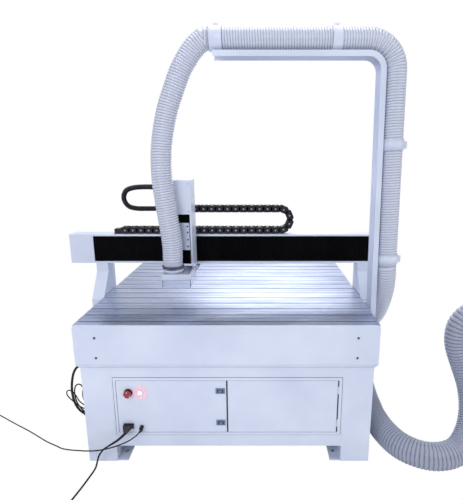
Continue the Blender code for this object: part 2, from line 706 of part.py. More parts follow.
def x_bellows():
    """Folded dust covers on both sides of the carriage, closing the front of the beam."""
    low, high = BEAM_Z[0] + BEAM_FLANGE + RUNNING, BEAM_Z[1] - BEAM_FLANGE - RUNNING
    front, back = BEAM_FRONT + 0.001, BEAM_FRONT + 0.011
    left = ((-BEAM_HALF + GAP, front, low), (COLUMN_X[0] - GAP, back, high))
    right = ((COLUMN_X[1] + GAP, front, low), (BEAM_HALF - 0.005 - GAP, back, high))
    add("x_bellows_left", box(left), BLACK, gantry)
    add("x_bellows_right", box(right), BLACK, gantry)


def boom_x(height):
    """Outer face of the leaning post at a height."""
    lean = (BOOM_HEAD_X - BOOM_FOOT_X) / (BOOM_TOP - BOOM_BOTTOM)
    return BOOM_FOOT_X + lean * (height - BOOM_BOTTOM)


def boom_outline(inset, arm_end, foot, corner):
    """The bent strip between the post's outer face moved in by inset and the inner side of the flanges."""
    angle = math.degrees(math.atan2(BOOM_FOOT_X - BOOM_HEAD_X, BOOM_TOP - BOOM_BOTTOM))
    side = [(boom_x(foot) - inset, foot)]
    side += arc(boom_x(BOOM_TOP - corner) - corner, BOOM_TOP - corner, corner - inset, angle, 90, 8)
    return side + [(arm_end, BOOM_TOP - inset)]


def boom_channel():
    """Post and arm of bent channel, open to the inside of the bend."""
    outer = boom_outline(0, BOOM_ARM_END, BOOM_BOTTOM, BOOM_CORNER)
    inner = boom_outline(BOOM_FLANGE, BOOM_ARM_END, BOOM_BOTTOM, BOOM_CORNER)
    piece = add("boom_channel", prism("XZ", *BOOM_Y, outer + inner[::-1]), PAINT, gantry)
    floor = boom_outline(BOOM_WALL, BOOM_ARM_END - 0.1, BOOM_BOTTOM - 0.1, BOOM_CORNER)
    mouth = boom_outline(BOOM_FLANGE + 0.01, BOOM_ARM_END - 0.1, BOOM_BOTTOM - 0.1, BOOM_CORNER)
    front, back = BOOM_Y
    cut(piece, prism("XZ", front + BOOM_WALL, back - BOOM_WALL, floor + mouth[::-1]))
    bracket = ((0.756, back - WELD, 0.646), (boom_x(0.690) - 0.001, UPRIGHT_FOOT[0] - GAP, 0.738))
    join(piece, box(bracket))
    rings, ears, feet = hose_clamps()
    join(piece, box(*feet))
    join(piece, rings)
    return join(piece, box(*ears))


def hose_clamps():
    """The four hose clamps of the boom: their rings, the ears of their screws and the feet on the channel."""
    outer, inner = HOSE_RADIUS + CLAMP_FIT + CLAMP_WALL, HOSE_RADIUS + CLAMP_FIT
    height = BOOM_TOP + CLAMP_LIFT + outer
    rings = bmesh.new()
    ears, feet = [], []
    for middle, width in ARM_CLAMPS:
        span = (middle - width / 2, middle + width / 2)
        prism("YZ", *span, circle(HOSE_Y, height, outer, 32), circle(HOSE_Y, height, inner, 32), bm=rings)
        low, high = max(span[0], BOOM_ARM_END) + 0.004, span[1] - 0.004
        feet.append(((low, HOSE_Y - 0.008, BOOM_TOP - WELD), (high, HOSE_Y + 0.008, height - inner - 0.0012)))
        ears.append(((middle - 0.012, HOSE_Y - 0.004, height + inner + 0.001),
                     (middle + 0.012, HOSE_Y + 0.004, height + outer + 0.012)))
    lean = math.atan2(BOOM_HEAD_X - BOOM_FOOT_X, BOOM_TOP - BOOM_BOTTOM)
    for middle, width in POST_CLAMPS:
        x = boom_x(middle) + CLAMP_LIFT + outer
        place = Matrix.Translation((x, HOSE_Y, middle)) @ Matrix.Rotation(lean, 4, "Y")
        ring = prism("XY", -width / 2, width / 2, circle(0, 0, outer, 32), circle(0, 0, inner, 32))
        ring.transform(place)
        mesh = bpy.data.meshes.new("ring")
        ring.to_mesh(mesh)
        ring.free()
        rings.from_mesh(mesh)
        feet.append(((boom_x(middle) - 0.0015, HOSE_Y - 0.008, middle - 0.02), (x - inner - 0.0015, HOSE_Y + 0.008, middle + 0.02)))
        ears.append(((x + inner + 0.0015, HOSE_Y - 0.005, middle - 0.018),
                     (x + outer + 0.017, HOSE_Y + 0.005, middle + 0.018)))
    return rings, ears, feet


def hose_boom():
    """The hose along the arm, round the corner and down the post, held in its clamps."""
    offset = HOSE_RADIUS + CLAMP_FIT + CLAMP_WALL + CLAMP_LIFT
    level = BOOM_TOP + offset
    bend = BOOM_CORNER + offset
    foot = (boom_x(HOSE_BOOM_END) + offset, HOSE_BOOM_END)
    angle = math.degrees(math.atan2(BOOM_FOOT_X - BOOM_HEAD_X, BOOM_TOP - BOOM_BOTTOM))
    corner_x = boom_x(level - bend) + offset - bend
    path = [(HOSE_BOOM_START, level), (0.0, level), (0.25, level), (0.50, level)]
    path += arc(corner_x, level - bend, bend, 90, angle, 8)
    path += [(boom_x(z) + offset, z) for z in (1.75, 1.50, 1.25)] + [foot]
    return tube("hose_boom", [(x, HOSE_Y, z) for x, z in path], HOSE_RADIUS, CLEAR, gantry, 4)


def chain_lower():
    """The part of the energy chain that lies on the beam, with its fixed end."""
    low = BEAM_Z[1] + GAP
    corners = ((CHAIN_START_X, CHAIN_Y[0], low), (CHAIN_BEND_X - GAP, CHAIN_Y[1], low + CHAIN_HEIGHT))
    return add("chain_lower", box(corners), BLACK, gantry)


def chain_upper():
    """The bend and the upper run of the energy chain, which ends on the carriage."""
    radius, half = CHAIN_BEND_RADIUS, CHAIN_HEIGHT / 2
    middle = BEAM_Z[1] + GAP + half + radius
    outer = arc(CHAIN_BEND_X, middle, radius + half, -90, 90, 12)
    inner = arc(CHAIN_BEND_X, middle, radius - half, 90, -90, 12)
    outline = [*outer, (CHAIN_END_X, middle + radius + half), (CHAIN_END_X, middle + radius - half), *inner]
    return add("chain_upper", prism("XZ", *CHAIN_Y, outline), BLACK, carriage)


# ---- carriage ----------------------------------------------------------------------------------------------


def x_saddle():
    """The block that rides on the X rails and holds the screw's nut."""
    front, back = CARRIAGE_PLATE_Y[1] + GAP, BEAM_BACK - BEAM_WEB - 0.003
    low, high = BEAM_Z[0] + BEAM_FLANGE + 0.0015, BEAM_Z[1] - BEAM_FLANGE - 0.0015
    groove = BEAM_BACK - BEAM_WEB - GAP - X_RAIL_DEPTH - RUNNING
    outline = [(front, low), (back, low)]
    for bottom, top in X_RAIL_Z:
        bottom, top = bottom - RUNNING, top + RUNNING
        outline += [(back, bottom), (groove, bottom), (groove, top), (back, top)]
    outline += [(back, high), (front, high)]
    return add("x_saddle", prism("YZ", *COLUMN_X, outline, circle(*X_SCREW_AT, SCREW_RADIUS + RUNNING)), STEEL,
               carriage)


def carriage_frame():
    """Back plate, two wings, Z rails, motor plate, foot bearing and the bracket for the chain's moving end."""
    left, right = COLUMN_X
    back_front, back_back = CARRIAGE_PLATE_Y
    top = COLUMN_Z[1] - GAP
    plan = [(left, back_back), (left, COLUMN_FRONT), (left + WING, COLUMN_FRONT), (left + WING, back_front),
            (right - WING, back_front), (right - WING, COLUMN_FRONT), (right, COLUMN_FRONT), (right, back_back)]
    piece = add("carriage_frame", prism("XY", COLUMN_Z[0], top, plan[::-1]), PAINT, carriage)
    x = SPINDLE_AT[0]
    inner = COVER_WALL + RUNNING
    motor_plate = ((left + inner, MOTOR_PLATE_FRONT, MOTOR_PLATE_Z[0]), (right - inner, back_back - 0.001, MOTOR_PLATE_Z[1]))
    foot = ((x - 0.015, -0.2040, 0.957), (x + 0.015, back_back - 0.001, 0.970))
    bracket = ((left + 0.014, back_front + 0.002, 1.2290), (right - 0.014, CHAIN_Y[1], 1.2355 - GAP))
    join(piece, box(motor_plate, foot, bracket))
    half = Z_RAIL_WIDTH / 2
    rails = [((x + s * Z_RAIL_OFFSET - half, back_front - 0.012, 0.975), (x + s * Z_RAIL_OFFSET + half, back_front + WELD, 1.230))
             for s in (-1, 1)]
    join(piece, box(*rails))
    bore = rod((x, Z_SCREW_Y, 0.975), (x, Z_SCREW_Y, 1.3), Z_SCREW_RADIUS + RUNNING, sides=16)
    return cut(piece, bore)


def column_cover():
    """The box over the Z motor, open below."""
    (left, right), back = COLUMN_X, CARRIAGE_PLATE_Y[0] + 0.007
    piece = add("column_cover", box(((left, COLUMN_FRONT, COLUMN_Z[1]), (right, back, COLUMN_Z[2]))), PAINT, carriage)
    wall = COVER_WALL
    inside = ((left + wall, COLUMN_FRONT + wall, 1), (right - wall, back - wall, COLUMN_Z[2] - wall))
    cut(piece, box(inside))
    slot = ((left + wall - RUNNING, MOTOR_PLATE_FRONT - 0.004, 1), (right - wall + RUNNING, 0, MOTOR_PLATE_Z[1] + 0.001))
    return cut(piece, box(slot))


def z_motor():
    """Motor of the Z screw, on its plate inside the cover."""
    x, half = SPINDLE_AT[0], 0.028
    low = (x - half, Z_SCREW_Y - half, MOTOR_PLATE_Z[1] + GAP)
    high = (x + half, Z_SCREW_Y + half, MOTOR_PLATE_Z[1] + 0.080)
    return bevel(add("z_motor", box((low, high)), BLACK, carriage), 0.003)


def z_bellows():
    """Dust covers above and below the spindle clamp."""
    left, right = COLUMN_X[0] + WING + RUNNING, COLUMN_X[1] - WING - RUNNING
    front, back = COLUMN_FRONT + 0.001, COLUMN_FRONT + 0.0075
    lower = ((left, front, COLUMN_Z[0]), (right, back, CARRIER_Z[0] - GAP))
    upper = ((left, front, CARRIER_Z[1] + GAP), (right, back, COLUMN_Z[1] - GAP))
    add("z_bellows_lower", box(lower), BLACK, carriage)
    add("z_bellows_upper", box(upper), BLACK, carriage)


def dust_shoe():
    """Clear brush box under the spindle with a hose port, hung from the wings by two straps."""
    (left, right), (front, back) = SHOE_X, SHOE_Y
    bottom, under, top = SHOE_Z
    wall = SHOE_WALL
    piece = add("dust_shoe", box(((left, front, bottom), (right, back, top))), CLEAR, carriage)
    cut(piece, box(((left + wall, front + wall, 0), (right - wall, back - wall, under))))
    x, y = PORT_AT
    straps = [((s, COLUMN_FRONT + 0.015, top - 0.002), (s + WING - 0.001, SHOE_Y[1], COLUMN_Z[0] - GAP))
              for s in (COLUMN_X[0] + 0.0005, COLUMN_X[1] - WING + 0.0005)]
    join(piece, box(*straps))
    join(piece, rod((x, y, top - 0.002), (x, y, PORT_TOP), PORT_RADIUS, sides=32))
    bores = rod((x, y, 0.9), (x, y, 1.0), PORT_RADIUS - 0.004, sides=32)
    rod((*SPINDLE_AT, 0.9), (*SPINDLE_AT, top + 0.01), SPINDLE_RADIUS + 0.005, sides=32, bm=bores)
    return cut(piece, bores)


# ---- Z slide and spindle -----------------------------------------------------------------------------------


def z_carrier():
    """Moving plate with its rail blocks, its screw nut and the clamp block of the spindle."""
    x = SPINDLE_AT[0]
    front, plate = CARRIER_Y
    back = CARRIAGE_PLATE_Y[0] - 0.007
    groove_half = Z_RAIL_WIDTH / 2 + RUNNING
    groove = CARRIAGE_PLATE_Y[0] - GAP - 0.012 - RUNNING
    outline = [(x - CARRIER_HALF, plate), (x - CARRIER_HALF, front), (x + CARRIER_HALF, front), (x + CARRIER_HALF, plate)]
    for side in (1, 0, -1):
        middle = x + side * Z_RAIL_OFFSET
        if side:
            outline += [(middle + 0.013, plate), (middle + 0.013, back), (middle + groove_half, back),
                        (middle + groove_half, groove), (middle - groove_half, groove), (middle - groove_half, back),
                        (middle - 0.013, back), (middle - 0.013, plate)]
        else:
            outline += [(x + 0.012, plate), (x + 0.012, -0.1865), (x - 0.012, -0.1865), (x - 0.012, plate)]
    bore = circle(x, Z_SCREW_Y, Z_SCREW_RADIUS + RUNNING, 16)
    piece = add("z_carrier", prism("XY", *CARRIER_Z, outline, bore), ALUMINIUM, z_slide)
    block = rectangle(x - CARRIER_HALF, x + CARRIER_HALF, COLUMN_FRONT + 0.0005, front + WELD)
    return join(piece, prism("XY", *CARRIER_Z, block, circle(*SPINDLE_AT, SPINDLE_RADIUS + GAP, 32)))


def spindle_body():
    """Spindle motor housing, bored below for its shaft."""
    bm = rod((*SPINDLE_AT, SPINDLE_Z[0]), (*SPINDLE_AT, SPINDLE_Z[1]), SPINDLE_RADIUS - GAP, sides=32)
    piece = add("spindle_body", bm, STEEL, z_slide)
    return cut(piece, rod((*SPINDLE_AT, 0.9), (*SPINDLE_AT, 1.0), 0.0125, sides=24))


def spindle_shaft():
    """Shaft, collet nut and cutter."""
    profile = ((0, TOOL_TIP), (0.003, TOOL_TIP), (0.003, COLLET_Z[0]), (0.013, COLLET_Z[0]), (0.016, COLLET_Z[0] + 0.008),
               (0.016, COLLET_Z[1]), (0.012, COLLET_Z[1]), (0.012, 0.995), (0, 0.995))
    bm = turned(profile)
    bm.transform(Matrix.Translation((*SPINDLE_AT, 0)))
    return add("spindle_shaft", bm, STEEL, spindle)


# ---- hoses and leads ---------------------------------------------------------------------------------------

HOSE_DROP_ROUTE = (
    (HOSE_BOOM_START - GAP, HOSE_Y, 2.1147), (-0.168, -0.361, 2.069), (-0.229, -0.364, 1.979),
    (-0.271, -0.367, 1.883), (-0.308, -0.370, 1.783), (-0.338, -0.374, 1.656), (-0.351, -0.378, 1.540),
    (-0.351, -0.379, 1.430), (-0.343, -0.379, 1.345), (-0.332, -0.378, 1.250), (-0.322, -0.376, 1.170),
    (-0.315, -0.374, 1.085), (-0.315, -0.374, 1.015), (-0.315, -0.374, PORT_TOP + GAP),
)
HOSE_LOWER_ROUTE = (
    (boom_x(HOSE_BOOM_END) + HOSE_RADIUS + CLAMP_FIT + CLAMP_WALL + CLAMP_LIFT, HOSE_Y, HOSE_BOOM_END - GAP),
    (0.868, -0.345, 0.900), (0.877, -0.300, 0.815), (0.881, -0.238, 0.724), (0.882, -0.170, 0.645),
    (0.879, -0.100, 0.582), (0.872, -0.030, 0.528), (0.865, 0.040, 0.474), (0.861, 0.088, 0.410),
    (REDUCER_AT[0], REDUCER_AT[1], REDUCER_Z[1] + GAP),
)
DUCT_ROUTE = (
    (REDUCER_AT[0], REDUCER_AT[1], REDUCER_Z[0] - GAP), (0.860, 0.094, 0.200), (0.858, 0.062, 0.142),
    (0.855, 0.005, 0.101), (0.850, -0.080, 0.079), (0.842, -0.190, 0.0715), (0.837, -0.305, 0.0705),
    (0.835, -0.420, 0.0705),
    (0.855, -0.570, 0.0705), (0.905, -0.700, 0.0705), (0.990, -0.775, 0.0705), (1.090, -0.790, 0.0710),
    (1.190, -0.755, 0.0850), (1.265, -0.690, 0.145), (1.300, -0.630, 0.245), (1.290, -0.598, 0.365),
    (1.245, -0.588, 0.490), (1.205, -0.588, 0.600), (1.205, -0.588, 0.690), (1.250, -0.588, 0.750),
    (1.330, -0.588, 0.762), (1.410, -0.588, 0.760),
)
POWER_ROUTE = (
    (-0.520, -0.7745, 0.192), (-0.533, -0.779, 0.180), (-0.560, -0.785, 0.158), (-0.600, -0.790, 0.133),
    (-0.634, -0.790, 0.108), (-0.660, -0.786, 0.070), (-0.672, -0.784, 0.035), (-0.677, -0.792, 0.0125),
    (-0.680, -0.815, 0.0055), (-0.686, -0.862, 0.0048), (-0.694, -0.919, 0.0048), (-0.703, -0.973, 0.0048),
    (-0.712, -1.020, 0.0048), (-0.722, -1.060, 0.0048),
)
POWER_COIL_AT = (-0.695, -1.140)
DATA_ROUTE = (
    (-0.4525, -0.7660, 0.1905), (-0.466, -0.776, 0.1785), (-0.497, -0.787, 0.160), (-0.528, -0.793, 0.147),
    (-0.559, -0.799, 0.137), (-0.600, -0.804, 0.126), (-0.638, -0.804, 0.117), (-0.676, -0.796, 0.106),
    (-0.712, -0.783, 0.096), (-0.745, -0.766, 0.084), (-0.775, -0.745, 0.071), (-0.826, -0.710, 0.048),
    (-0.878, -0.675, 0.028), (-0.918, -0.645, 0.013), (-0.960, -0.613, 0.0050), (-1.041, -0.566, 0.0035),
    (-1.170, -0.478, 0.0035), (-1.303, -0.395, 0.0035), (-1.445, -0.304, 0.0035), (-1.500, -0.272, 0.0035),
)
DATA_COIL_AT = (-1.560, -0.262)
COIL_FACES = 24
POWER_COIL_OUTER, POWER_COIL_HOLE = 0.0615, 0.0325
DATA_COIL_OUTER, DATA_COIL_HOLE = 0.0470, 0.0250
SIDE_CABLE_ROUTE = (
    (-BASE_HALF - GAP, -0.700, 0.528), (-0.763, -0.700, 0.520), (-0.786, -0.700, 0.478), (-0.799, -0.701, 0.405),
    (-0.795, -0.701, 0.337), (-0.775, -0.700, 0.285), (-BASE_HALF - GAP, -0.699, 0.250),
)


def carried_hoses():
    """The free hose from the arm to the shoe, and the one from the post down to the reducer."""
    drop = smooth_route(HOSE_DROP_ROUTE, 0.050, (-1, 0, 0), (0, 0, -1), 0.022)
    tube("hose_drop", drop, HOSE_RADIUS, CLEAR, gantry, 4)
    lean = (BOOM_FOOT_X - BOOM_HEAD_X) / (BOOM_TOP - BOOM_BOTTOM)
    lower = smooth_route(HOSE_LOWER_ROUTE, 0.050, (lean, 0, -1), (0, 0, -1), 0.012)
    tube("hose_lower", lower, HOSE_RADIUS, CLEAR, gantry, 4)


def duct():
    """Reducer on its stand bracket, the large duct to the extractor and its end fitting."""
    x, y = REDUCER_AT
    low, high = REDUCER_Z
    bm = turned(((0, low), (DUCT_RADIUS, low), (DUCT_RADIUS, low + 0.035), (HOSE_RADIUS + 0.002, high - 0.035),
                 (HOSE_RADIUS + 0.002, high), (0, high)))
    bm.transform(Matrix.Translation((x, y, 0)))
    piece = add("hose_reducer", bm, PAINT)
    join(piece, box(((BASE_HALF + GAP, y - 0.020, low + 0.010), (x - 0.030, y + 0.020, low + 0.034))))
    tube("hose_duct", smooth_route(DUCT_ROUTE, 0.075, (0, 0, -1), (1, 0, 0), 0.015), DUCT_RADIUS, GREY, None, 4)
    end = DUCT_ROUTE[-1]
    add("duct_fitting", rod((end[0] + GAP, end[1], end[2]), (end[0] + 0.070, end[1], end[2]), DUCT_RADIUS + 0.002), GREY)


def coil(name, at, outer, inner, height, finish):
    """The outer shape of a round coil lying on the floor: a ring with flat faces."""
    bm = prism("XY", GAP, height, circle(*at, outer, COIL_FACES), circle(*at, inner, COIL_FACES))
    return add(name, bm, finish)


def coil_side(at, outer, degrees, height):
    """Where a cord's end face meets the middle of one flat face of a coil's rim."""
    reach = outer * math.cos(math.pi / COIL_FACES) + GAP
    return at[0] + reach * math.cos(math.radians(degrees)), at[1] + reach * math.sin(math.radians(degrees)), height


def leads():
    """Mains lead and data cable: what lies free, what is coiled, and the plugs."""
    leaves = Vector(POWER_ROUTE[1]) - Vector(POWER_ROUTE[0])
    end = coil_side(POWER_COIL_AT, POWER_COIL_OUTER, 112.5, POWER_ROUTE[-1][2])
    route = smooth_route((*POWER_ROUTE, end), 0.022, leaves, Vector((*POWER_COIL_AT, end[2])) - Vector(end))
    tube("power_cord", route, POWER_CORD_RADIUS, BLACK, None, 2)
    coil("power_coil", POWER_COIL_AT, POWER_COIL_OUTER, POWER_COIL_HOLE, 0.020, BLACK)
    leaves = Vector(DATA_ROUTE[1]) - Vector(DATA_ROUTE[0])
    end = coil_side(DATA_COIL_AT, DATA_COIL_OUTER, -7.5, DATA_ROUTE[-1][2])
    route = smooth_route((*DATA_ROUTE, end), 0.030, leaves, Vector((*DATA_COIL_AT, end[2])) - Vector(end))
    tube("data_cable", route, DATA_CORD_RADIUS, BLACK, None, 2)
    coil("data_coil", DATA_COIL_AT, DATA_COIL_OUTER, DATA_COIL_HOLE, 0.0145, BLACK)


def lead_plugs():
    """Both connectors of the mains lead, and both of the data cable."""
    x, z = INLET_AT
    face = PANEL_FACE - 2 * GAP - 0.0032
    piece = add("power_connector", box(((x - 0.0245, face - 0.027, z - 0.0125), (x + 0.0245, face, z + 0.0125))), BLACK)
    start = Vector(POWER_ROUTE[0])
    back = (start - Vector(POWER_ROUTE[1])).normalized()
    join(piece, rod(start + back * GAP, start + back * 0.022, 0.0065, 0.0100, sides=16))
    coil_x, coil_y = POWER_COIL_AT
    beside = coil_x + POWER_COIL_OUTER + 0.0182
    add("mains_plug", rod((beside, coil_y - 0.022, 0.0205), (beside, coil_y + 0.020, 0.0205), 0.0200, 0.0165, sides=16), BLACK)
    x, z = DATA_AT
    face = PANEL_FACE - GAP - 0.0040
    start = Vector(DATA_ROUTE[0])
    piece = add("data_connector", rod((x, face - 0.022, z), (x, face, z), 0.0100, sides=16), BLACK)
    back = (start - Vector(DATA_ROUTE[1])).normalized()
    join(piece, rod(start + back * GAP, start + back * 0.020, 0.0050, 0.0080, sides=16))
    coil_x, coil_y = DATA_COIL_AT
    beside = coil_y + DATA_COIL_OUTER + GAP
    add("data_plug", box(((coil_x - 0.009, beside, GAP), (coil_x + 0.009, beside + 0.038, 0.0120))), BLACK)


def side_cable():
    """Cable loop at the left side of the cabinet, from under the bed down into the side sheet."""
    route = smooth_route(SIDE_CABLE_ROUTE, 0.022, (-1, 0, 0), (1, 0, 0), 0.006)
    return tube("side_cable", route, SIDE_CABLE_RADIUS, BLACK)


def carriage_conduit():
    """Corrugated conduit from the chain's end, looping left and back into the cover."""
    middle = BEAM_Z[1] + GAP + CHAIN_HEIGHT / 2 + 2 * CHAIN_BEND_RADIUS
    end = COLUMN_X[0] - GAP
    route = ((CHAIN_END_X - GAP, -0.110, middle), (-0.400, -0.111, middle), (-0.500, -0.113, middle),
             (-0.570, -0.116, 1.2590), (-0.615, -0.119, 1.2750), (-0.636, -0.121, 1.3180), (-0.618, -0.125, 1.3620),
             (-0.570, -0.130, 1.3800), (-0.500, -0.140, 1.3850), (-0.430, -0.165, 1.3850), (-0.385, -0.184, 1.3850),
             (end, -0.188, 1.3850))
    return tube("carriage_conduit", smooth_route(route, 0.034, (-1, 0, 0), (1, 0, 0), 0.006), 0.015, BLACK, carriage, 2)


def main():
    pedestals()
    front_frame()
    door_frame()
    control_panel()
    tray("right_door", DOOR_X, door_hinge)
    panel_fittings()
    latch_thumbs()
    stop_button()
    power_button()
    cabinet_shell()
    control_unit()
    bed_frame()
    table()
    end_cover("front_cover", COVER_FRONT, 1)
    end_cover("rear_cover", -COVER_FRONT, -1)
    y_motors()
    screws()
    uprights()
    gantry_beam()
    motor_end_box()
    x_motor()
    x_bellows()
    boom_channel()
    hose_boom()
    chain_lower()
    chain_upper()
    x_saddle()
    carriage_frame()
    column_cover()
    z_motor()
    z_bellows()
    dust_shoe()
    z_carrier()
    spindle_body()
    spindle_shaft()
    carried_hoses()
    duct()
    leads()
    lead_plugs()
    side_cable()
    carriage_conduit()


main()
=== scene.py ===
"""Looks of the CNC router: camera, hoses, leads, chain, bellows, table, paint, controls, shoe and studio.

Metres, +Z up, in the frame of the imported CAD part. The operator stands at -Y.
"""

import json
import math

import bmesh
import bpy
import numpy as np
from mathutils import Matrix, Vector
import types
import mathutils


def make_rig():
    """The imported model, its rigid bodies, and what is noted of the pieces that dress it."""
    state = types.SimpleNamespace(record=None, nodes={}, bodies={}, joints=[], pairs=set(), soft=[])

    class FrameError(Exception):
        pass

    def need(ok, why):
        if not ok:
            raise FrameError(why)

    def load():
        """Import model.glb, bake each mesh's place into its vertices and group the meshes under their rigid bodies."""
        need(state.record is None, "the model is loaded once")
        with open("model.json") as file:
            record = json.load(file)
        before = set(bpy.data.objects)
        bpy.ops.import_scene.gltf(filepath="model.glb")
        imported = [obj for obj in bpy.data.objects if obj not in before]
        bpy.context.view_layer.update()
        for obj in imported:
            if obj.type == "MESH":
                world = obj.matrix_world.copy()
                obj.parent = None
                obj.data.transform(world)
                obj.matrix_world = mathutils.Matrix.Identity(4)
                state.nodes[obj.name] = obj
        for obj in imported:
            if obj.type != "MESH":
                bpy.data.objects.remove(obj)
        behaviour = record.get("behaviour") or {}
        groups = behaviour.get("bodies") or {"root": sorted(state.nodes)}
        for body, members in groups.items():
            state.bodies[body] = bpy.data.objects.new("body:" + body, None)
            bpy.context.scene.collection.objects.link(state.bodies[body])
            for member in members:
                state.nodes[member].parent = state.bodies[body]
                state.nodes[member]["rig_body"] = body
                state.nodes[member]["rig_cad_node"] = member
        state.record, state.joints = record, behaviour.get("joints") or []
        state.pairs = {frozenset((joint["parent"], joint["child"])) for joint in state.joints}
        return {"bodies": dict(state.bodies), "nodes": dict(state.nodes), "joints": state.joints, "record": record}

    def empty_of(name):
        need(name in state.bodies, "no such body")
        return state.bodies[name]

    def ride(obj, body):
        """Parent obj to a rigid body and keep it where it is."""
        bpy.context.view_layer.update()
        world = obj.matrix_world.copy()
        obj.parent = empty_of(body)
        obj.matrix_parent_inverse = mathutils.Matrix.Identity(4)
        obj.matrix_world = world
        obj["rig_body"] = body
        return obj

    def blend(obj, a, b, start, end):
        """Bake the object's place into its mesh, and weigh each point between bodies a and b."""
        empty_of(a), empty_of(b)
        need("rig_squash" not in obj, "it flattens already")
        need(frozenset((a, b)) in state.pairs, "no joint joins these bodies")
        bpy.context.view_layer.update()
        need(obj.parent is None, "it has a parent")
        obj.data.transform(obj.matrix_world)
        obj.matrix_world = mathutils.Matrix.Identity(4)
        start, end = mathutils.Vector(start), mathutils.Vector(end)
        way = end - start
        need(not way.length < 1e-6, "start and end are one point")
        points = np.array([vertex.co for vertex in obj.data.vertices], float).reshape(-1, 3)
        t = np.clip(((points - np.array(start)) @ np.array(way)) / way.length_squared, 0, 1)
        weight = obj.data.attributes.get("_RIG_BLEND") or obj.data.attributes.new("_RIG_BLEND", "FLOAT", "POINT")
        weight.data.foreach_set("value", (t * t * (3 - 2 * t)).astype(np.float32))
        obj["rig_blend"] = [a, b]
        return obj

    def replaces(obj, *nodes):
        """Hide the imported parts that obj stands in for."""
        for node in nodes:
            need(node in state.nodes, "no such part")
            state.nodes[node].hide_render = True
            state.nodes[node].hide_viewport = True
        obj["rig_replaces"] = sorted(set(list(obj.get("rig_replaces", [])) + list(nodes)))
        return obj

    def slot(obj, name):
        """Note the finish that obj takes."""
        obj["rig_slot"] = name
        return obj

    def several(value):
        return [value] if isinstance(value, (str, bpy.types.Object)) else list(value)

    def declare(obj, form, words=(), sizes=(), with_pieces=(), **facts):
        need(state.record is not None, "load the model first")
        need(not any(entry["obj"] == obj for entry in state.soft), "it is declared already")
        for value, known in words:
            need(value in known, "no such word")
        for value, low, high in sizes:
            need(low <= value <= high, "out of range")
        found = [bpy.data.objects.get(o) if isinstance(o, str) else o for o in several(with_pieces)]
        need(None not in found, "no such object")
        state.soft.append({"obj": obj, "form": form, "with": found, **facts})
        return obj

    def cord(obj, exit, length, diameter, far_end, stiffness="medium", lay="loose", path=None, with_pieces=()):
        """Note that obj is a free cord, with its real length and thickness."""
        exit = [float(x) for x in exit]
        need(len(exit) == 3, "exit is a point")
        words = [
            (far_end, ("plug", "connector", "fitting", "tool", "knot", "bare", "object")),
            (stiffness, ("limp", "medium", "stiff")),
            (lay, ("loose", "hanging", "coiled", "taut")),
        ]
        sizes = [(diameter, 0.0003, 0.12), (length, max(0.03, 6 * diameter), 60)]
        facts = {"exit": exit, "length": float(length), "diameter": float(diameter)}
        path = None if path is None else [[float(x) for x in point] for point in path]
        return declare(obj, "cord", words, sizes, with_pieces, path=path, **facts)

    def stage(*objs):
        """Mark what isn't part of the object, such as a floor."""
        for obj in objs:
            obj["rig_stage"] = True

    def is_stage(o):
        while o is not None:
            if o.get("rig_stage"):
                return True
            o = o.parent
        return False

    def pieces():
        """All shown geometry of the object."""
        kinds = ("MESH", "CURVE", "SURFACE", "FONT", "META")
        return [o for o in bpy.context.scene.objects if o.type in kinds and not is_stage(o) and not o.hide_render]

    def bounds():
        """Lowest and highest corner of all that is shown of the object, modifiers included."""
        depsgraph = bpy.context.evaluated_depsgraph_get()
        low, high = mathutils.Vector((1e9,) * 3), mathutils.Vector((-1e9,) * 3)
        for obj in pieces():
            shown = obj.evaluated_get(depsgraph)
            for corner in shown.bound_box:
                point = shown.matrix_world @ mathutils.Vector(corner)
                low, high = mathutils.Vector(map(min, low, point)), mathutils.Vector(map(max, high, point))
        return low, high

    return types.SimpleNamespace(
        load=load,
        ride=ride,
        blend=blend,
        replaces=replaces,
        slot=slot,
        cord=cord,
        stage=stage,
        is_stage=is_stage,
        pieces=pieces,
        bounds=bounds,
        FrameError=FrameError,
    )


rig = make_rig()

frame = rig.load()
cad_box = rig.bounds()

# ---- sizes shared with the CAD part ------------------------------------------------------------------------

GAP = 0.0003
HOSE_RADIUS = 0.055
HOSE_PITCH = 0.0135
HOSE_Y = -0.358
DUCT_RADIUS = 0.070
DUCT_PITCH = 0.0165
BOOM_TOP, BOOM_BOTTOM = 2.055, 0.640
BOOM_FOOT_X, BOOM_HEAD_X, BOOM_CORNER = 0.808, 0.782, 0.088
CLAMP_STACK = 0.0006 + 0.0035 + 0.0009     # fit, band and lift of a hose clamp
HOSE_BOOM_START, HOSE_BOOM_END = -0.093, 0.972
SHOE_PORT = (-0.315, -0.374, 0.957)
SPINDLE_AT, SPINDLE_HOLE = (-0.289, -0.266), 0.0425
REDUCER_AT, REDUCER_Z = (0.860, 0.100), (0.260, 0.360)
PANEL_FACE = -0.7325
STOP_AT, LAMP_AT = (-0.502, 0.397), (-0.443, 0.397)
INLET_AT = (-0.512, 0.208)
LATCH_HEIGHTS = (0.228, 0.407)
CHAIN_Y = (-0.140, -0.080)
CHAIN_LEVEL, CHAIN_HEIGHT, CHAIN_PITCH = 1.1093, 0.042, 0.047
CHAIN_BEND_X, CHAIN_BEND_RADIUS = 0.278, 0.0633
CHAIN_START_X, CHAIN_END_X = -0.673, -0.340
COLUMN_X, COLUMN_FRONT = (-0.364, -0.214), -0.315
TABLE_HALF, TABLE_TOP, PLANKS = 0.747, 0.761, 15

# ---- camera ------------------------------------------------------------------------------------------------

camera = bpy.data.objects.new("camera", bpy.data.cameras.new("camera"))
camera.location = (0.163, -2.788, 1.5415)
camera.rotation_euler = (math.radians(75.9), 0, 0)
camera.data.lens = 32.4
camera.data.sensor_width = 36
camera.data.shift_x = -0.057
camera.data.shift_y = 0.044
bpy.context.scene.collection.objects.link(camera)
bpy.context.scene.camera = camera

# ---- materials ---------------------------------------------------------------------------------------------


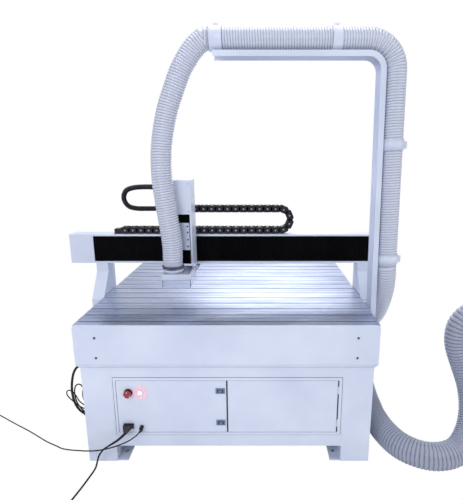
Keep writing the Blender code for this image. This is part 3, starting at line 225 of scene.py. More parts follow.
def linear(code):
    """A colour written as sRGB hex, as linear RGBA."""
    parts = [int(code[i:i + 2], 16) / 255 for i in (1, 3, 5)]
    return (*(c / 12.92 if c <= 0.04045 else ((c + 0.055) / 1.055) ** 2.4 for c in parts), 1)


def node(tree, kind, **sockets):
    """A node of that kind, with its input sockets set or linked, by name or by position as i0, i1."""
    made = tree.nodes.new(kind)
    for name, value in sockets.items():
        by_position = name[0] == "i" and name[1:].isdigit()
        socket = made.inputs[int(name[1:]) if by_position else name.replace("_", " ")]
        if isinstance(value, bpy.types.NodeSocket):
            tree.links.new(value, socket)
        else:
            socket.default_value = value
    return made


def material(name, colour, roughness, metallic=0.0):
    """A Principled material, its tree and its shader, to build on."""
    made = bpy.data.materials.new(name)
    made.use_nodes = True
    shader = made.node_tree.nodes["Principled BSDF"]
    shader.inputs["Base Color"].default_value = linear(colour)
    shader.inputs["Roughness"].default_value = roughness
    shader.inputs["Metallic"].default_value = metallic
    return made, made.node_tree, shader


def mottle(tree, shader, socket, scale, low, high, detail=3.0):
    """Drives a value of the shader with soft noise between low and high, in object space."""
    place = node(tree, "ShaderNodeTexCoord")
    noise = node(tree, "ShaderNodeTexNoise", Vector=place.outputs["Object"], Scale=scale, Detail=detail)
    spread = node(tree, "ShaderNodeMapRange", Value=noise.outputs["Fac"], From_Min=0.3, From_Max=0.7,
                  To_Min=low, To_Max=high)
    tree.links.new(spread.outputs["Result"], shader.inputs[socket])
    return noise


def tint(tree, shader, noise, dark, light):
    """Base colour between two tones of the same finish, by the noise."""
    ramp = node(tree, "ShaderNodeValToRGB", Fac=noise.outputs["Fac"])
    ramp.color_ramp.elements[0].position = 0.3
    ramp.color_ramp.elements[0].color = linear(dark)
    ramp.color_ramp.elements[1].position = 0.7
    ramp.color_ramp.elements[1].color = linear(light)
    tree.links.new(ramp.outputs["Color"], shader.inputs["Base Color"])


def grain(tree, shader, noise_scale, strength, stretch=(1, 1, 1), distance=0.0003):
    """A fine bump, stretched along the axis whose factor is small."""
    place = node(tree, "ShaderNodeTexCoord")
    turn = node(tree, "ShaderNodeMapping", Vector=place.outputs["Object"], Scale=stretch)
    noise = node(tree, "ShaderNodeTexNoise", Vector=turn.outputs["Vector"], Scale=noise_scale, Detail=2.0)
    bump = node(tree, "ShaderNodeBump", Height=noise.outputs["Fac"], Strength=strength, Distance=distance)
    tree.links.new(bump.outputs["Normal"], shader.inputs["Normal"])
    return noise


def powder_coat(name, dark, light, roughness=0.38):
    """Satin powder coat with a trace of orange peel and a hardly visible change of tone."""
    made, tree, shader = material(name, light, roughness)
    noise = mottle(tree, shader, "Roughness", 3.0, roughness - 0.05, roughness + 0.07)
    tint(tree, shader, noise, dark, light)
    grain(tree, shader, 420.0, 0.10)
    shader.inputs["Coat Weight"].default_value = 0.15
    shader.inputs["Coat Roughness"].default_value = 0.25
    return made


def aluminium(name, colour, reflection_dark, roughness, stretch):
    """Extruded aluminium: fine draw lines along one axis, and long darker patches of painted reflection."""
    made, tree, shader = material(name, colour, roughness, 0.9)
    noise = grain(tree, shader, 260.0, 0.22, stretch, 0.0002)
    place = node(tree, "ShaderNodeTexCoord")
    # Stretched noise darkens the metal in long patches: painted reflection.
    reflection_stretch = node(tree, "ShaderNodeMapping", Vector=place.outputs["Object"], Scale=(0.9, 5.0, 1.0))
    painted_reflection_patches = node(tree, "ShaderNodeTexNoise", Vector=reflection_stretch.outputs["Vector"], Scale=2.2, Detail=2.5)
    tint(tree, shader, painted_reflection_patches, reflection_dark, colour)
    spread = node(tree, "ShaderNodeMapRange", Value=noise.outputs["Fac"], To_Min=roughness - 0.08,
                  To_Max=roughness + 0.12)
    tree.links.new(spread.outputs["Result"], shader.inputs["Roughness"])
    return made


def plain(name, colour, roughness, metallic=0.0, peel=0.08, scale=300.0):
    """A moulded or painted finish with a faint grain."""
    made, tree, shader = material(name, colour, roughness, metallic)
    mottle(tree, shader, "Roughness", 18.0, roughness - 0.06, roughness + 0.08)
    grain(tree, shader, scale, peel)
    return made


def pvc_with_valley_shade(name, colour, roughness, transmission, dark):
    """Flexible clear PVC, darker towards the valleys between its ribs: painted shade in the creases, lighter on the
    crests.
    """
    made, tree, shader = material(name, colour, roughness)
    # The colour runs from the dark tone in a valley to the hose colour on a crest: painted shade between the ribs.
    rib = node(tree, "ShaderNodeAttribute")
    rib.attribute_name = "rib"
    ramp = node(tree, "ShaderNodeValToRGB", Fac=rib.outputs["Fac"])
    ramp.color_ramp.elements[0].position = 0.0
    ramp.color_ramp.elements[0].color = linear(dark)
    ramp.color_ramp.elements[1].position = 0.75
    ramp.color_ramp.elements[1].color = linear(colour)
    tree.links.new(ramp.outputs["Color"], shader.inputs["Base Color"])
    shader.inputs["Transmission Weight"].default_value = transmission
    shader.inputs["IOR"].default_value = 1.45
    shader.inputs["Subsurface Weight"].default_value = 0.0
    shader.inputs["Coat Weight"].default_value = 0.3
    shader.inputs["Coat Roughness"].default_value = 0.15
    return made


PAINT = powder_coat("powder_coated_steel_white", "#d3dae9", "#e3e9f4")
# A darker copy of the white powder coat: painted shade for the apron's downward-facing fold.
APRON_FOLD_PAINTED_SHADE = powder_coat("powder_coat_painted_shade_fold", "#8f96ae", "#a2a9c0")
# Near-black: painted shadow in the door gaps and the latch wells; also the dark joint lines of the table and the clamp
# bolts' sockets.
SHADOW_AND_JOINT_DARK = plain("shadow_line_dark_slate", "#2a3142", 0.6)
# The second tone of each aluminium paints the darker reflections on it.
TABLE_METAL = aluminium("extruded_aluminium_table", "#ccd3e3", "#a0a8c2", 0.27, (0.02, 1, 1))
CARRIER_METAL = aluminium("machined_aluminium_plate", "#d6dce8", "#c4cbda", 0.34, (1, 1, 0.03))
STEEL = plain("ground_steel", "#b9bcc4", 0.28, 1.0, 0.05)
BLACK_PLASTIC = plain("black_moulded_plastic", "#0a0a0d", 0.42)
BLACK_RUBBER = plain("black_rubber_fabric", "#050507", 0.62, 0.0, 0.15)
COVER_FABRIC = plain("black_coated_cover_fabric", "#020203", 0.75, 0.0, 0.10)
CHAIN_PLASTIC = plain("black_glass_filled_nylon", "#0c0c10", 0.36, 0.0, 0.12)
LATCH_GREY = plain("grey_zinc_latch", "#728198", 0.38, 0.3)
CLAMP_GREY = plain("grey_moulded_clamp", "#4a5062", 0.45)
# The last colour of each hose is painted shade for the valleys between its ribs.
HOSE_CLEAR = pvc_with_valley_shade("clear_pvc_hose", "#dde1ec", 0.24, 0.10, "#8b91a8")
DUCT_GREY = pvc_with_valley_shade("grey_pvc_duct", "#a4a9b8", 0.38, 0.0, "#50566a")
CLEAR_PLASTIC = plain("clear_acrylic", "#e6ecf8", 0.10, 0.0, 0.0)
STOP_RED = plain("red_stop_button", "#a3323c", 0.24)
LAMP_WHITE = plain("lit_lamp_lens", "#fff4f4", 0.3)
BLACK_FELT = plain("black_motor_enamel", "#111216", 0.45)
BRASS_DOT = plain("zinc_rivet", "#aeb4c2", 0.3, 0.9)

COVER_FABRIC.node_tree.nodes["Principled BSDF"].inputs["Specular IOR Level"].default_value = 0.12
clear = CLEAR_PLASTIC.node_tree.nodes["Principled BSDF"]
clear.inputs["Transmission Weight"].default_value = 0.75
clear.inputs["IOR"].default_value = 1.2
lamp = LAMP_WHITE.node_tree.nodes["Principled BSDF"]
lamp.inputs["Emission Color"].default_value = linear("#ffe4e4")
lamp.inputs["Emission Strength"].default_value = 1.2

# ---- surfaces ----------------------------------------------------------------------------------------------


def surface(name, points, finish, wrap=False, smooth=True, rib=None):
    """A mesh on a grid of points[i, j]; wrap closes it round j. rib is an optional 0 to 1 value per point."""
    rows, columns = points.shape[:2]
    index = np.arange(rows * columns).reshape(rows, columns)
    after = np.roll(index, -1, axis=1) if wrap else index[:, 1:]
    here = index if wrap else index[:, :-1]
    faces = np.stack([here[:-1], after[:-1], after[1:], here[1:]], axis=-1).reshape(-1, 4)
    mesh = bpy.data.meshes.new(name)
    mesh.from_pydata(points.reshape(-1, 3).tolist(), [], faces.tolist())
    mesh.polygons.foreach_set("use_smooth", [smooth] * len(mesh.polygons))
    if rib is not None:
        mesh.attributes.new("rib", "FLOAT", "POINT").data.foreach_set("value",
                                                                      rib.reshape(-1).astype(np.float32))
    mesh.materials.append(finish)
    mesh.update()
    made = bpy.data.objects.new(name, mesh)
    bpy.context.scene.collection.objects.link(made)
    return made


def smooth_route(points, spacing, leaves=None, arrives=None, stub=0.004):
    """Evenly spaced points on a smooth curve through given points, with a straight stub at an end."""
    route = np.array(points, float)
    if leaves is not None:
        route[0] = route[0] + stub * np.array(Vector(leaves).normalized())
    if arrives is not None:
        route[-1] = route[-1] - stub * np.array(Vector(arrives).normalized())
    padded = np.vstack([2 * route[0] - route[1], route, 2 * route[-1] - route[-2]])
    fine = []
    for a, b, c, d in zip(padded, padded[1:], padded[2:], padded[3:]):
        for t in np.linspace(0, 1, 24, endpoint=False):
            fine.append(0.5 * (2 * b + (c - a) * t + (2 * a - 5 * b + 4 * c - d) * t * t
                               + (3 * b - a - 3 * c + d) * t ** 3))
    fine = np.array(fine + [route[-1]])
    along = np.concatenate([[0], np.cumsum(np.linalg.norm(np.diff(fine, axis=0), axis=1))])
    at = np.linspace(0, along[-1], max(2, int(round(along[-1] / spacing)) + 1))
    curve = np.column_stack([np.interp(at, along, fine[:, k]) for k in range(3)])
    start = np.array(points[:1], float) if leaves is not None else curve[:0]
    end = np.array(points[-1:], float) if arrives is not None else curve[:0]
    return np.vstack([start, curve, end])


def resample(path, step):
    """Points at an even step along a path."""
    path = np.array(path, float)
    along = np.concatenate([[0], np.cumsum(np.linalg.norm(np.diff(path, axis=0), axis=1))])
    at = np.linspace(0, along[-1], int(round(along[-1] / step)) + 1)
    for _ in range(3):
        path = np.column_stack([np.interp(at, along, path[:, k]) for k in range(3)])
        path[1:-1] = 0.25 * path[:-2] + 0.5 * path[1:-1] + 0.25 * path[2:]
        along = np.concatenate([[0], np.cumsum(np.linalg.norm(np.diff(path, axis=0), axis=1))])
        at = np.linspace(0, along[-1], len(at))
    return path, along


def frames(path):
    """Two unit vectors across the path at each point, carried along it without twist."""
    tangents = np.gradient(path, axis=0)
    tangents /= np.linalg.norm(tangents, axis=1)[:, None]
    side = np.cross(tangents[0], (0.0, 1.0, 0.0))
    if np.linalg.norm(side) < 0.2:
        side = np.cross(tangents[0], (1.0, 0.0, 0.0))
    sides = []
    for tangent in tangents:
        side = side - tangent * (side @ tangent)
        side = side / np.linalg.norm(side)
        sides.append(side)
    sides = np.array(sides)
    return sides, np.cross(tangents, sides)


def ribbed_tube(name, path, radius, pitch, depth, finish, lead=1.0, around=44, per_rib=7, plain_end=0.0):
    """A hose with a helical rib.

    r(s, a) = radius - depth * (1 - |sin(pi * (s / pitch - lead * a / 2 pi))| ^ 0.7), for s along the path and
    a round it; the last plain_end metres keep r = radius - depth / 2, as a cuff.
    """
    centre, along = resample(path, pitch / per_rib)
    sides, ups = frames(centre)
    angle = np.linspace(0, 2 * math.pi, around, endpoint=False)
    phase = along[:, None] / pitch - lead * angle[None, :] / (2 * math.pi)
    crest = np.abs(np.sin(math.pi * phase)) ** 0.7
    cuff = np.clip((along[-1] - plain_end - along[:, None]) / pitch, 0,
                   1) if plain_end else np.ones((len(along), 1))
    crest = crest * cuff + 0.5 * (1 - cuff)
    wide = radius - depth * (1 - crest)
    ring = sides[:, None, :] * np.cos(angle)[None, :, None] + ups[:, None, :] * np.sin(angle)[None, :, None]
    made = surface(name, centre[:, None, :] + wide[:, :, None] * ring, finish, wrap=True, rib=crest)
    return made, centre


def round_tube(name, path, radius, finish, around=12, step=0.004):
    """A plain round cord along a path, open at its ends."""
    centre, _ = resample(path, step)
    sides, ups = frames(centre)
    angle = np.linspace(0, 2 * math.pi, around, endpoint=False)
    ring = sides[:, None, :] * np.cos(angle)[None, :, None] + ups[:, None, :] * np.sin(angle)[None, :, None]
    made = surface(name, centre[:, None, :] + radius * ring, finish, wrap=True)
    return made, centre


def solid(name, bm, finish, bevel=0.0, smooth=True):
    """An object from a bmesh, with rounded edges if asked for."""
    mesh = bpy.data.meshes.new(name)
    bm.to_mesh(mesh)
    bm.free()
    mesh.materials.append(finish)
    made = bpy.data.objects.new(name, mesh)
    bpy.context.scene.collection.objects.link(made)
    if smooth:
        mesh.polygons.foreach_set("use_smooth", [True] * len(mesh.polygons))
    if bevel:
        round_edges(made, bevel)
    return made


def round_edges(piece, width, segments=2):
    """Rounds a piece's edges and keeps its flats flat."""
    edge = piece.modifiers.new("edges", "BEVEL")
    edge.width = width
    edge.segments = segments
    edge.limit_method = "ANGLE"
    edge.angle_limit = math.radians(35)
    edge.harden_normals = True
    edge.use_clamp_overlap = True
    piece.data.polygons.foreach_set("use_smooth", [True] * len(piece.data.polygons))
    return piece


def boxes(*corners):
    """Boxes, each from its lowest and highest corner."""
    bm = bmesh.new()
    for low, high in corners:
        low, high = Vector(low), Vector(high)
        place = Matrix.Translation((low + high) / 2) @ Matrix.Diagonal((*(high - low), 1))
        bmesh.ops.create_cube(bm, size=1, matrix=place)
    return bm


def discs(axis, *items, sides=24):
    """Short cylinders: each is (centre, radius, thickness) about the named axis."""
    bm = bmesh.new()
    turn = {"X": Matrix.Rotation(math.pi / 2, 4, "Y"), "Y": Matrix.Rotation(math.pi / 2, 4, "X"),
            "Z": Matrix.Identity(4)}
    for centre, radius, thick in items:
        place = Matrix.Translation(centre) @ turn[axis]
        bmesh.ops.create_cone(bm, cap_ends=True, segments=sides, radius1=radius, radius2=radius,
                              depth=thick, matrix=place)
    return bm


def lathe(name, profile, centre, axis, finish, steps=48):
    """A turned piece: profile is (radius, height) pairs and the height runs along axis from centre.

    p(h, a) = centre + height * axis + radius * (cos a, sin a).
    """
    profile = np.array(profile, float)
    angle = np.linspace(0, 2 * math.pi, steps, endpoint=False)
    axis = Vector(axis).normalized()
    u = axis.orthogonal().normalized()
    v = axis.cross(u)
    ring = np.array(u)[None, :] * np.cos(angle)[:, None] + np.array(v)[None, :] * np.sin(angle)[:, None]
    points = (np.array(centre)[None, None, :] + profile[:, 1][:, None, None] * np.array(axis)[None, None, :]
              + profile[:, 0][:, None, None] * ring[None, :, :])
    return surface(name, points, finish, wrap=True)


def follow(piece, body, replaced=(), slot=None):
    """The piece moves with its body, stands for CAD nodes and names its material slot."""
    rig.ride(piece, body)
    if replaced:
        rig.replaces(piece, *replaced)
    if slot:
        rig.slot(piece, slot)
    return piece


def bend_along_x(make, span, weights, bodies, steps):
    """Pieces of a run that shortens evenly: each part of the span blends between the weights at its two ends.

    A blend eases as w = t * t * (3 - 2 t), so each part's start and end lie where the inverse of that
    puts them.
    """
    edges = np.linspace(span[0], span[1], steps + 1)
    shares = np.linspace(weights[0], weights[1], steps + 1)
    place = 0.5 - np.sin(np.arcsin(1 - 2 * shares) / 3)
    for i in range(steps):
        reach = (edges[i + 1] - edges[i]) / (place[i + 1] - place[i])
        start = edges[i] - place[i] * reach
        make(i, edges[i], edges[i + 1], start, start + reach, bodies)


# ---- extraction hoses --------------------------------------------------------------------------------------


def boom_x(height):
    """X of the post's outer face at a height."""
    return BOOM_FOOT_X + (BOOM_HEAD_X - BOOM_FOOT_X) * (height - BOOM_BOTTOM) / (BOOM_TOP - BOOM_BOTTOM)


HOSE_DROP_ROUTE = (
    (HOSE_BOOM_START - GAP, HOSE_Y, 2.1147), (-0.168, -0.361, 2.069), (-0.229, -0.364, 1.979),
    (-0.271, -0.367, 1.883), (-0.308, -0.370, 1.783), (-0.338, -0.374, 1.656), (-0.351, -0.378, 1.540),
    (-0.351, -0.379, 1.430), (-0.343, -0.379, 1.345), (-0.332, -0.378, 1.250), (-0.322, -0.376, 1.170),
    (-0.315, -0.374, 1.085), (-0.315, -0.374, 1.015), (-0.315, -0.374, SHOE_PORT[2] + GAP),
)
HOSE_LOWER_ROUTE = (
    (boom_x(HOSE_BOOM_END) + HOSE_RADIUS + CLAMP_STACK, HOSE_Y, HOSE_BOOM_END - GAP),
    (0.868, -0.345, 0.900), (0.877, -0.300, 0.815), (0.881, -0.238, 0.724), (0.882, -0.170, 0.645),
    (0.879, -0.100, 0.582), (0.872, -0.030, 0.528), (0.865, 0.040, 0.474), (0.861, 0.088, 0.410),
    (REDUCER_AT[0], REDUCER_AT[1], REDUCER_Z[1] + GAP),
)
DUCT_ROUTE = (
    (REDUCER_AT[0], REDUCER_AT[1], REDUCER_Z[0] - GAP), (0.860, 0.094, 0.200), (0.858, 0.062, 0.142),
    (0.855, 0.005, 0.101), (0.850, -0.080, 0.079), (0.842, -0.190, 0.0715), (0.837, -0.305, 0.0705),
    (0.835, -0.420, 0.0705),
    (0.855, -0.570, 0.0705), (0.905, -0.700, 0.0705), (0.990, -0.775, 0.0705), (1.090, -0.790, 0.0710),
    (1.190, -0.755, 0.0850), (1.265, -0.690, 0.145), (1.300, -0.630, 0.245), (1.290, -0.598, 0.365),
    (1.245, -0.588, 0.490), (1.205, -0.588, 0.600), (1.205, -0.588, 0.690), (1.250, -0.588, 0.750),
    (1.330, -0.588, 0.762), (1.410, -0.588, 0.760),
)


def boom_hose_path():
    """Centreline of the hose along the arm, round the corner and down the post."""
    offset = HOSE_RADIUS + CLAMP_STACK
    level, bend = BOOM_TOP + offset, BOOM_CORNER + offset
    lean = math.atan2(BOOM_FOOT_X - BOOM_HEAD_X, BOOM_TOP - BOOM_BOTTOM)
    corner_x = boom_x(level - bend) + offset - bend
    path = [(HOSE_BOOM_START, HOSE_Y, level), (0.25, HOSE_Y, level), (corner_x - 0.02, HOSE_Y, level)]
    for turn in np.linspace(math.pi / 2, lean, 10):
        path.append((corner_x + bend * math.cos(turn), HOSE_Y, level - bend + bend * math.sin(turn)))
    path.append((boom_x(HOSE_BOOM_END) + offset, HOSE_Y, HOSE_BOOM_END))
    return path


def polyline_length(path):
    return float(np.linalg.norm(np.diff(np.array(path), axis=0), axis=1).sum())


def hoses():
    """Clear hose on the boom, the free stretch to the shoe, the stretch to the reducer, and the grey duct."""
    boom, _ = ribbed_tube("extraction_hose_on_boom", boom_hose_path(), HOSE_RADIUS, HOSE_PITCH, 0.0042,
                          HOSE_CLEAR)
    follow(boom, "gantry", ("hose_boom",), "clear")

    route = smooth_route(HOSE_DROP_ROUTE, 0.010, (-1, 0, 0), (0, 0, -1), 0.022)
    drop, centre = ribbed_tube("extraction_hose_to_shoe", route, HOSE_RADIUS, HOSE_PITCH, 0.0042,
                               HOSE_CLEAR,
                               plain_end=0.040)
    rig.replaces(drop, "hose_drop")
    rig.slot(drop, "clear")
    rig.cord(drop, HOSE_DROP_ROUTE[0], polyline_length(centre), 2 * HOSE_RADIUS, "object", "stiff",
            "hanging", centre)
    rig.blend(drop, "gantry", "carriage", (-0.2, HOSE_Y, 2.10), (-0.2, HOSE_Y, 1.00))

    lean = (BOOM_FOOT_X - BOOM_HEAD_X) / (BOOM_TOP - BOOM_BOTTOM)
    route = smooth_route(HOSE_LOWER_ROUTE, 0.010, (lean, 0, -1), (0, 0, -1), 0.012)
    lower, centre = ribbed_tube("extraction_hose_to_reducer", route, HOSE_RADIUS, HOSE_PITCH, 0.0042,
                                HOSE_CLEAR)
    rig.replaces(lower, "hose_lower")
    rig.slot(lower, "clear")
    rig.cord(lower, HOSE_LOWER_ROUTE[0], polyline_length(centre), 2 * HOSE_RADIUS, "object", "stiff",
            "hanging", centre)
    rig.blend(lower, "base", "gantry", (0.86, 0.0, REDUCER_Z[1] + 0.02), (0.86, 0.0, HOSE_BOOM_END - 0.05))

    route = smooth_route(DUCT_ROUTE, 0.010, (0, 0, -1), (1, 0, 0), 0.015)
    duct, centre = ribbed_tube("large_duct", route, DUCT_RADIUS, DUCT_PITCH, 0.0055, DUCT_GREY, around=48)
    follow(duct, "base", ("hose_duct",), "grey")
    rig.cord(duct, DUCT_ROUTE[0], polyline_length(centre), 0.12, "fitting", "stiff", "loose", centre,
            ["duct_fitting"])


# ---- leads -------------------------------------------------------------------------------------------------

POWER_ROUTE = (
    (-0.520, -0.7745, 0.192), (-0.533, -0.779, 0.180), (-0.560, -0.785, 0.158), (-0.600, -0.790, 0.133),
    (-0.634, -0.790, 0.108), (-0.660, -0.786, 0.070), (-0.672, -0.784, 0.035), (-0.677, -0.792, 0.0125),
    (-0.680, -0.815, 0.0055), (-0.686, -0.862, 0.0048), (-0.694, -0.919, 0.0048), (-0.703, -0.973, 0.0048),
    (-0.712, -1.020, 0.0048), (-0.722, -1.060, 0.0048),
)
POWER_COIL_AT, POWER_CORD_RADIUS, POWER_TURNS = (-0.695, -1.140), 0.0045, 4
POWER_COIL_RADII = (0.0560, 0.0380)
DATA_ROUTE = (
    (-0.4525, -0.7660, 0.1905), (-0.466, -0.776, 0.1785), (-0.497, -0.787, 0.160), (-0.528, -0.793, 0.147),
    (-0.559, -0.799, 0.137), (-0.600, -0.804, 0.126), (-0.638, -0.804, 0.117), (-0.676, -0.796, 0.106),
    (-0.712, -0.783, 0.096), (-0.745, -0.766, 0.084), (-0.775, -0.745, 0.071), (-0.826, -0.710, 0.048),
    (-0.878, -0.675, 0.028), (-0.918, -0.645, 0.013), (-0.960, -0.613, 0.0050), (-1.041, -0.566, 0.0035),
    (-1.170, -0.478, 0.0035), (-1.303, -0.395, 0.0035), (-1.445, -0.304, 0.0035), (-1.500, -0.272, 0.0035),
)
DATA_COIL_AT, DATA_CORD_RADIUS, DATA_TURNS = (-1.560, -0.262), 0.0033, 4
DATA_COIL_RADII = (0.0430, 0.0290)
SIDE_CABLE_ROUTE = (
    (-0.7323, -0.700, 0.528), (-0.763, -0.700, 0.520), (-0.786, -0.700, 0.478), (-0.799, -0.701, 0.405),
    (-0.795, -0.701, 0.337), (-0.775, -0.700, 0.285), (-0.7323, -0.699, 0.250),
)
SIDE_WIRES = (
    (((-0.7325, -0.684, 0.270), (-0.768, -0.686, 0.288), (-0.800, -0.688, 0.318), (-0.828, -0.690, 0.352),
      (-0.834, -0.690, 0.374), (-0.822, -0.690, 0.388), (-0.803, -0.688, 0.378), (-0.788, -0.686, 0.352),
      (-0.772, -0.684, 0.318), (-0.7325, -0.682, 0.282)), 0.0030),
    (((-0.7325, -0.672, 0.238), (-0.764, -0.674, 0.262), (-0.790, -0.676, 0.306), (-0.799, -0.676, 0.362),
      (-0.790, -0.676, 0.404), (-0.772, -0.674, 0.414), (-0.756, -0.672, 0.396), (-0.752, -0.672, 0.352),
      (-0.746, -0.670, 0.312), (-0.7325, -0.668, 0.294)), 0.0034),
    (((-0.7325, -0.664, 0.440), (-0.748, -0.662, 0.424), (-0.758, -0.660, 0.386), (-0.764, -0.660, 0.344),
      (-0.756, -0.660, 0.306), (-0.7325, -0.660, 0.278)), 0.0042),
    (((-0.7325, -0.652, 0.452), (-0.744, -0.650, 0.420), (-0.754, -0.648, 0.368), (-0.768, -0.648, 0.330),
      (-0.760, -0.648, 0.296), (-0.7325, -0.648, 0.262)), 0.0042),
)


def coil_turns(at, radii, turns, start_degrees, radius, end_degrees):
    """Points of a loose coil: two layers of an in-going spiral and its way back out, resting on the floor."""
    whole = turns + (end_degrees - start_degrees) / 360
    steps = int(28 * whole)
    points = []
    for i in range(steps + 1):
        share = i / steps
        turn = math.radians(start_degrees) + 2 * math.pi * whole * share
        layer = abs(2 * share - 1)
        reach = radii[1] + (radii[0] - radii[1]) * layer
        rise = 2.05 * radius * min(1, max(0, (share - 0.42) / 0.10))
        points.append((at[0] + reach * math.cos(turn), at[1] + reach * math.sin(turn), radius + GAP + rise))
    return points


def mains_fan():
    """Flat moulded connector, wide at the inlet and narrow at the cord.

    Ring z is centre(z) + (w(z) sgn(c) |c|^0.5, d(z) sgn(s) |s|^0.5), for c and s the cosine and sine.
    """
    rows = np.array(((0.2215, -0.5120, -0.7480, 0.0001, 0.0001), (0.2215, -0.5120, -0.7480, 0.0235, 0.0100),
                     (0.2195, -0.5120, -0.7490, 0.0255, 0.0122), (0.2120, -0.5125, -0.7500, 0.0252, 0.0135),
                     (0.2040, -0.5150, -0.7530, 0.0208, 0.0145), (0.1970, -0.5175, -0.7600, 0.0148, 0.0140),
                     (0.1910, -0.5195, -0.7680, 0.0100, 0.0115), (0.1875, -0.5200, -0.7725, 0.0065, 0.0075),
                     (0.1875, -0.5200, -0.7725, 0.0001, 0.0001)))
    angle = np.linspace(0, 2 * math.pi, 40, endpoint=False)
    ring_x = np.sign(np.cos(angle)) * np.abs(np.cos(angle)) ** 0.5
    ring_y = np.sign(np.sin(angle)) * np.abs(np.sin(angle)) ** 0.5
    points = np.stack([rows[:, 1:2] + rows[:, 3:4] * ring_x, rows[:, 2:3] - rows[:, 4:5] * ring_y,
                       np.repeat(rows[:, 0:1], 40, axis=1)], axis=-1)
    return follow(surface("mains_connector", points, BLACK_PLASTIC, wrap=True), "base",
                  ("power_connector",), "black")


def tapered_sleeve(name, path, first, last):
    """A strain relief round a cord: its radius falls evenly from first to last, with shallow grooves."""
    sides, ups = frames(path)
    share = np.linspace(0, 1, len(path))
    radius = first + (last - first) * share - 0.0004 * (np.arange(len(path)) % 2)
    angle = np.linspace(0, 2 * math.pi, 16, endpoint=False)
    ring = sides[:, None, :] * np.cos(angle)[None, :, None] + ups[:, None, :] * np.sin(angle)[None, :, None]
    made = surface(name, path[:, None, :] + radius[:, None, None] * ring, BLACK_PLASTIC, wrap=True)
    return follow(made, "base", (), "black")


def leads():
    """Mains lead with its coil, data cable with its coil, and the cable loop at the side."""
    coil = coil_turns(POWER_COIL_AT, POWER_COIL_RADII, POWER_TURNS, 165, POWER_CORD_RADIUS, 300)
    x, y = POWER_COIL_AT
    tail = ((x + 0.055, y - 0.040, 0.0160), (x + 0.0745, y - 0.032, 0.0190),
            (x + 0.0797, y - 0.0222, 0.0205))
    route = smooth_route((*POWER_ROUTE, *coil, *tail), 0.006)
    fan = mains_fan()
    relief = tapered_sleeve("mains_strain_relief", smooth_route(POWER_ROUTE[:4], 0.003), 0.0076, 0.0050)
    cord, centre = round_tube("mains_lead", route, POWER_CORD_RADIUS, BLACK_RUBBER, around=12)
    follow(cord, "base", ("power_cord", "power_coil"), "rubber")
    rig.cord(cord, POWER_ROUTE[0], polyline_length(centre), 2 * POWER_CORD_RADIUS, "plug", "medium",
            "coiled", centre,
            [fan, relief, "mains_plug"])

    coil = coil_turns(DATA_COIL_AT, DATA_COIL_RADII, DATA_TURNS, 45, DATA_CORD_RADIUS, 90)
    route = smooth_route((*DATA_ROUTE, *coil), 0.006)
    cord, centre = round_tube("data_lead", route, DATA_CORD_RADIUS, BLACK_RUBBER, around=10)
    follow(cord, "base", ("data_cable", "data_coil"), "rubber")
    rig.cord(cord, DATA_ROUTE[0], polyline_length(centre), 2 * DATA_CORD_RADIUS, "connector", "medium",
            "coiled",
            centre, ["data_connector", "data_plug"])

    route = smooth_route(SIDE_CABLE_ROUTE, 0.006, (-1, 0, 0), (1, 0, 0), 0.006)
    loop, _ = round_tube("side_cable_loop", route, 0.0060, BLACK_RUBBER)
    follow(loop, "base", ("side_cable",), "rubber")
    for i, (points, radius) in enumerate(SIDE_WIRES):
        wire, _ = round_tube(f"side_wire_{i + 1}", smooth_route(points, 0.006), radius, BLACK_RUBBER,
                             around=8)
        follow(wire, "base", (), "rubber")


def conduit():
    """Corrugated conduit from the chain into the column cover."""
    middle = CHAIN_LEVEL + CHAIN_HEIGHT / 2 + 2 * CHAIN_BEND_RADIUS
    route = ((CHAIN_END_X - GAP, -0.110, middle), (-0.400, -0.111, middle), (-0.500, -0.113, middle),
             (-0.570, -0.116, 1.2590), (-0.615, -0.119, 1.2750), (-0.636, -0.121, 1.3180),
             (-0.618, -0.125, 1.3620),
             (-0.570, -0.130, 1.3800), (-0.500, -0.140, 1.3850), (-0.430, -0.165, 1.3850),
             (-0.385, -0.184, 1.3850),
             (COLUMN_X[0] - GAP, -0.188, 1.3850))
    path = smooth_route(route, 0.005, (-1, 0, 0), (1, 0, 0), 0.006)
    made, _ = ribbed_tube("corrugated_conduit", path, 0.0150, 0.0042, 0.0020, CHAIN_PLASTIC, lead=0.0,
                          around=20)
    follow(made, "carriage", ("carriage_conduit",), "black")


# ---- energy chain ------------------------------------------------------------------------------------------


def link(bm, place, width):
    """One chain link: a pair of stadium-shaped side plates and two crossbars between them."""
    half, long = CHAIN_HEIGHT / 2 - 0.001, CHAIN_PITCH / 2
    for side in (-1, 1):
        plate = bmesh.new()
        outline = []
        for turn in np.linspace(-90, 90, 9):
            outline.append((long * 0.72 + half * 0.62 * math.cos(math.radians(turn)),
                            half * math.sin(math.radians(turn))))
        outline += [(-x, z) for x, z in reversed(outline)]
        lower = [plate.verts.new((x, side * (width / 2) - 0.0025, z)) for x, z in outline]
        upper = [plate.verts.new((x, side * (width / 2) + 0.0025, z)) for x, z in outline]
        plate.faces.new(lower)
        plate.faces.new(upper[::-1])
        for i in range(len(lower)):
            j = (i + 1) % len(lower)
            plate.faces.new((lower[j], lower[i], upper[i], upper[j]))
        copy_into(bm, plate, place @ Matrix.Translation((0, -side * 0.0026, 0)))
    bar_size = Matrix.Diagonal((0.016, width - 0.006, 0.005, 1))
    for height in (-half + 0.004, half - 0.004):
        bar = bmesh.new()
        bmesh.ops.create_cube(bar, size=1, matrix=Matrix.Translation((0, 0, height)) @ bar_size)
        copy_into(bm, bar, place)


def copy_into(bm, other, place):
    """Moves another bmesh by place and adds it."""
    other.transform(place)
    bmesh.ops.recalc_face_normals(other, faces=other.faces)
    mesh = bpy.data.meshes.new("copy")
    other.to_mesh(mesh)
    other.free()
    bm.from_mesh(mesh)
    bpy.data.meshes.remove(mesh)


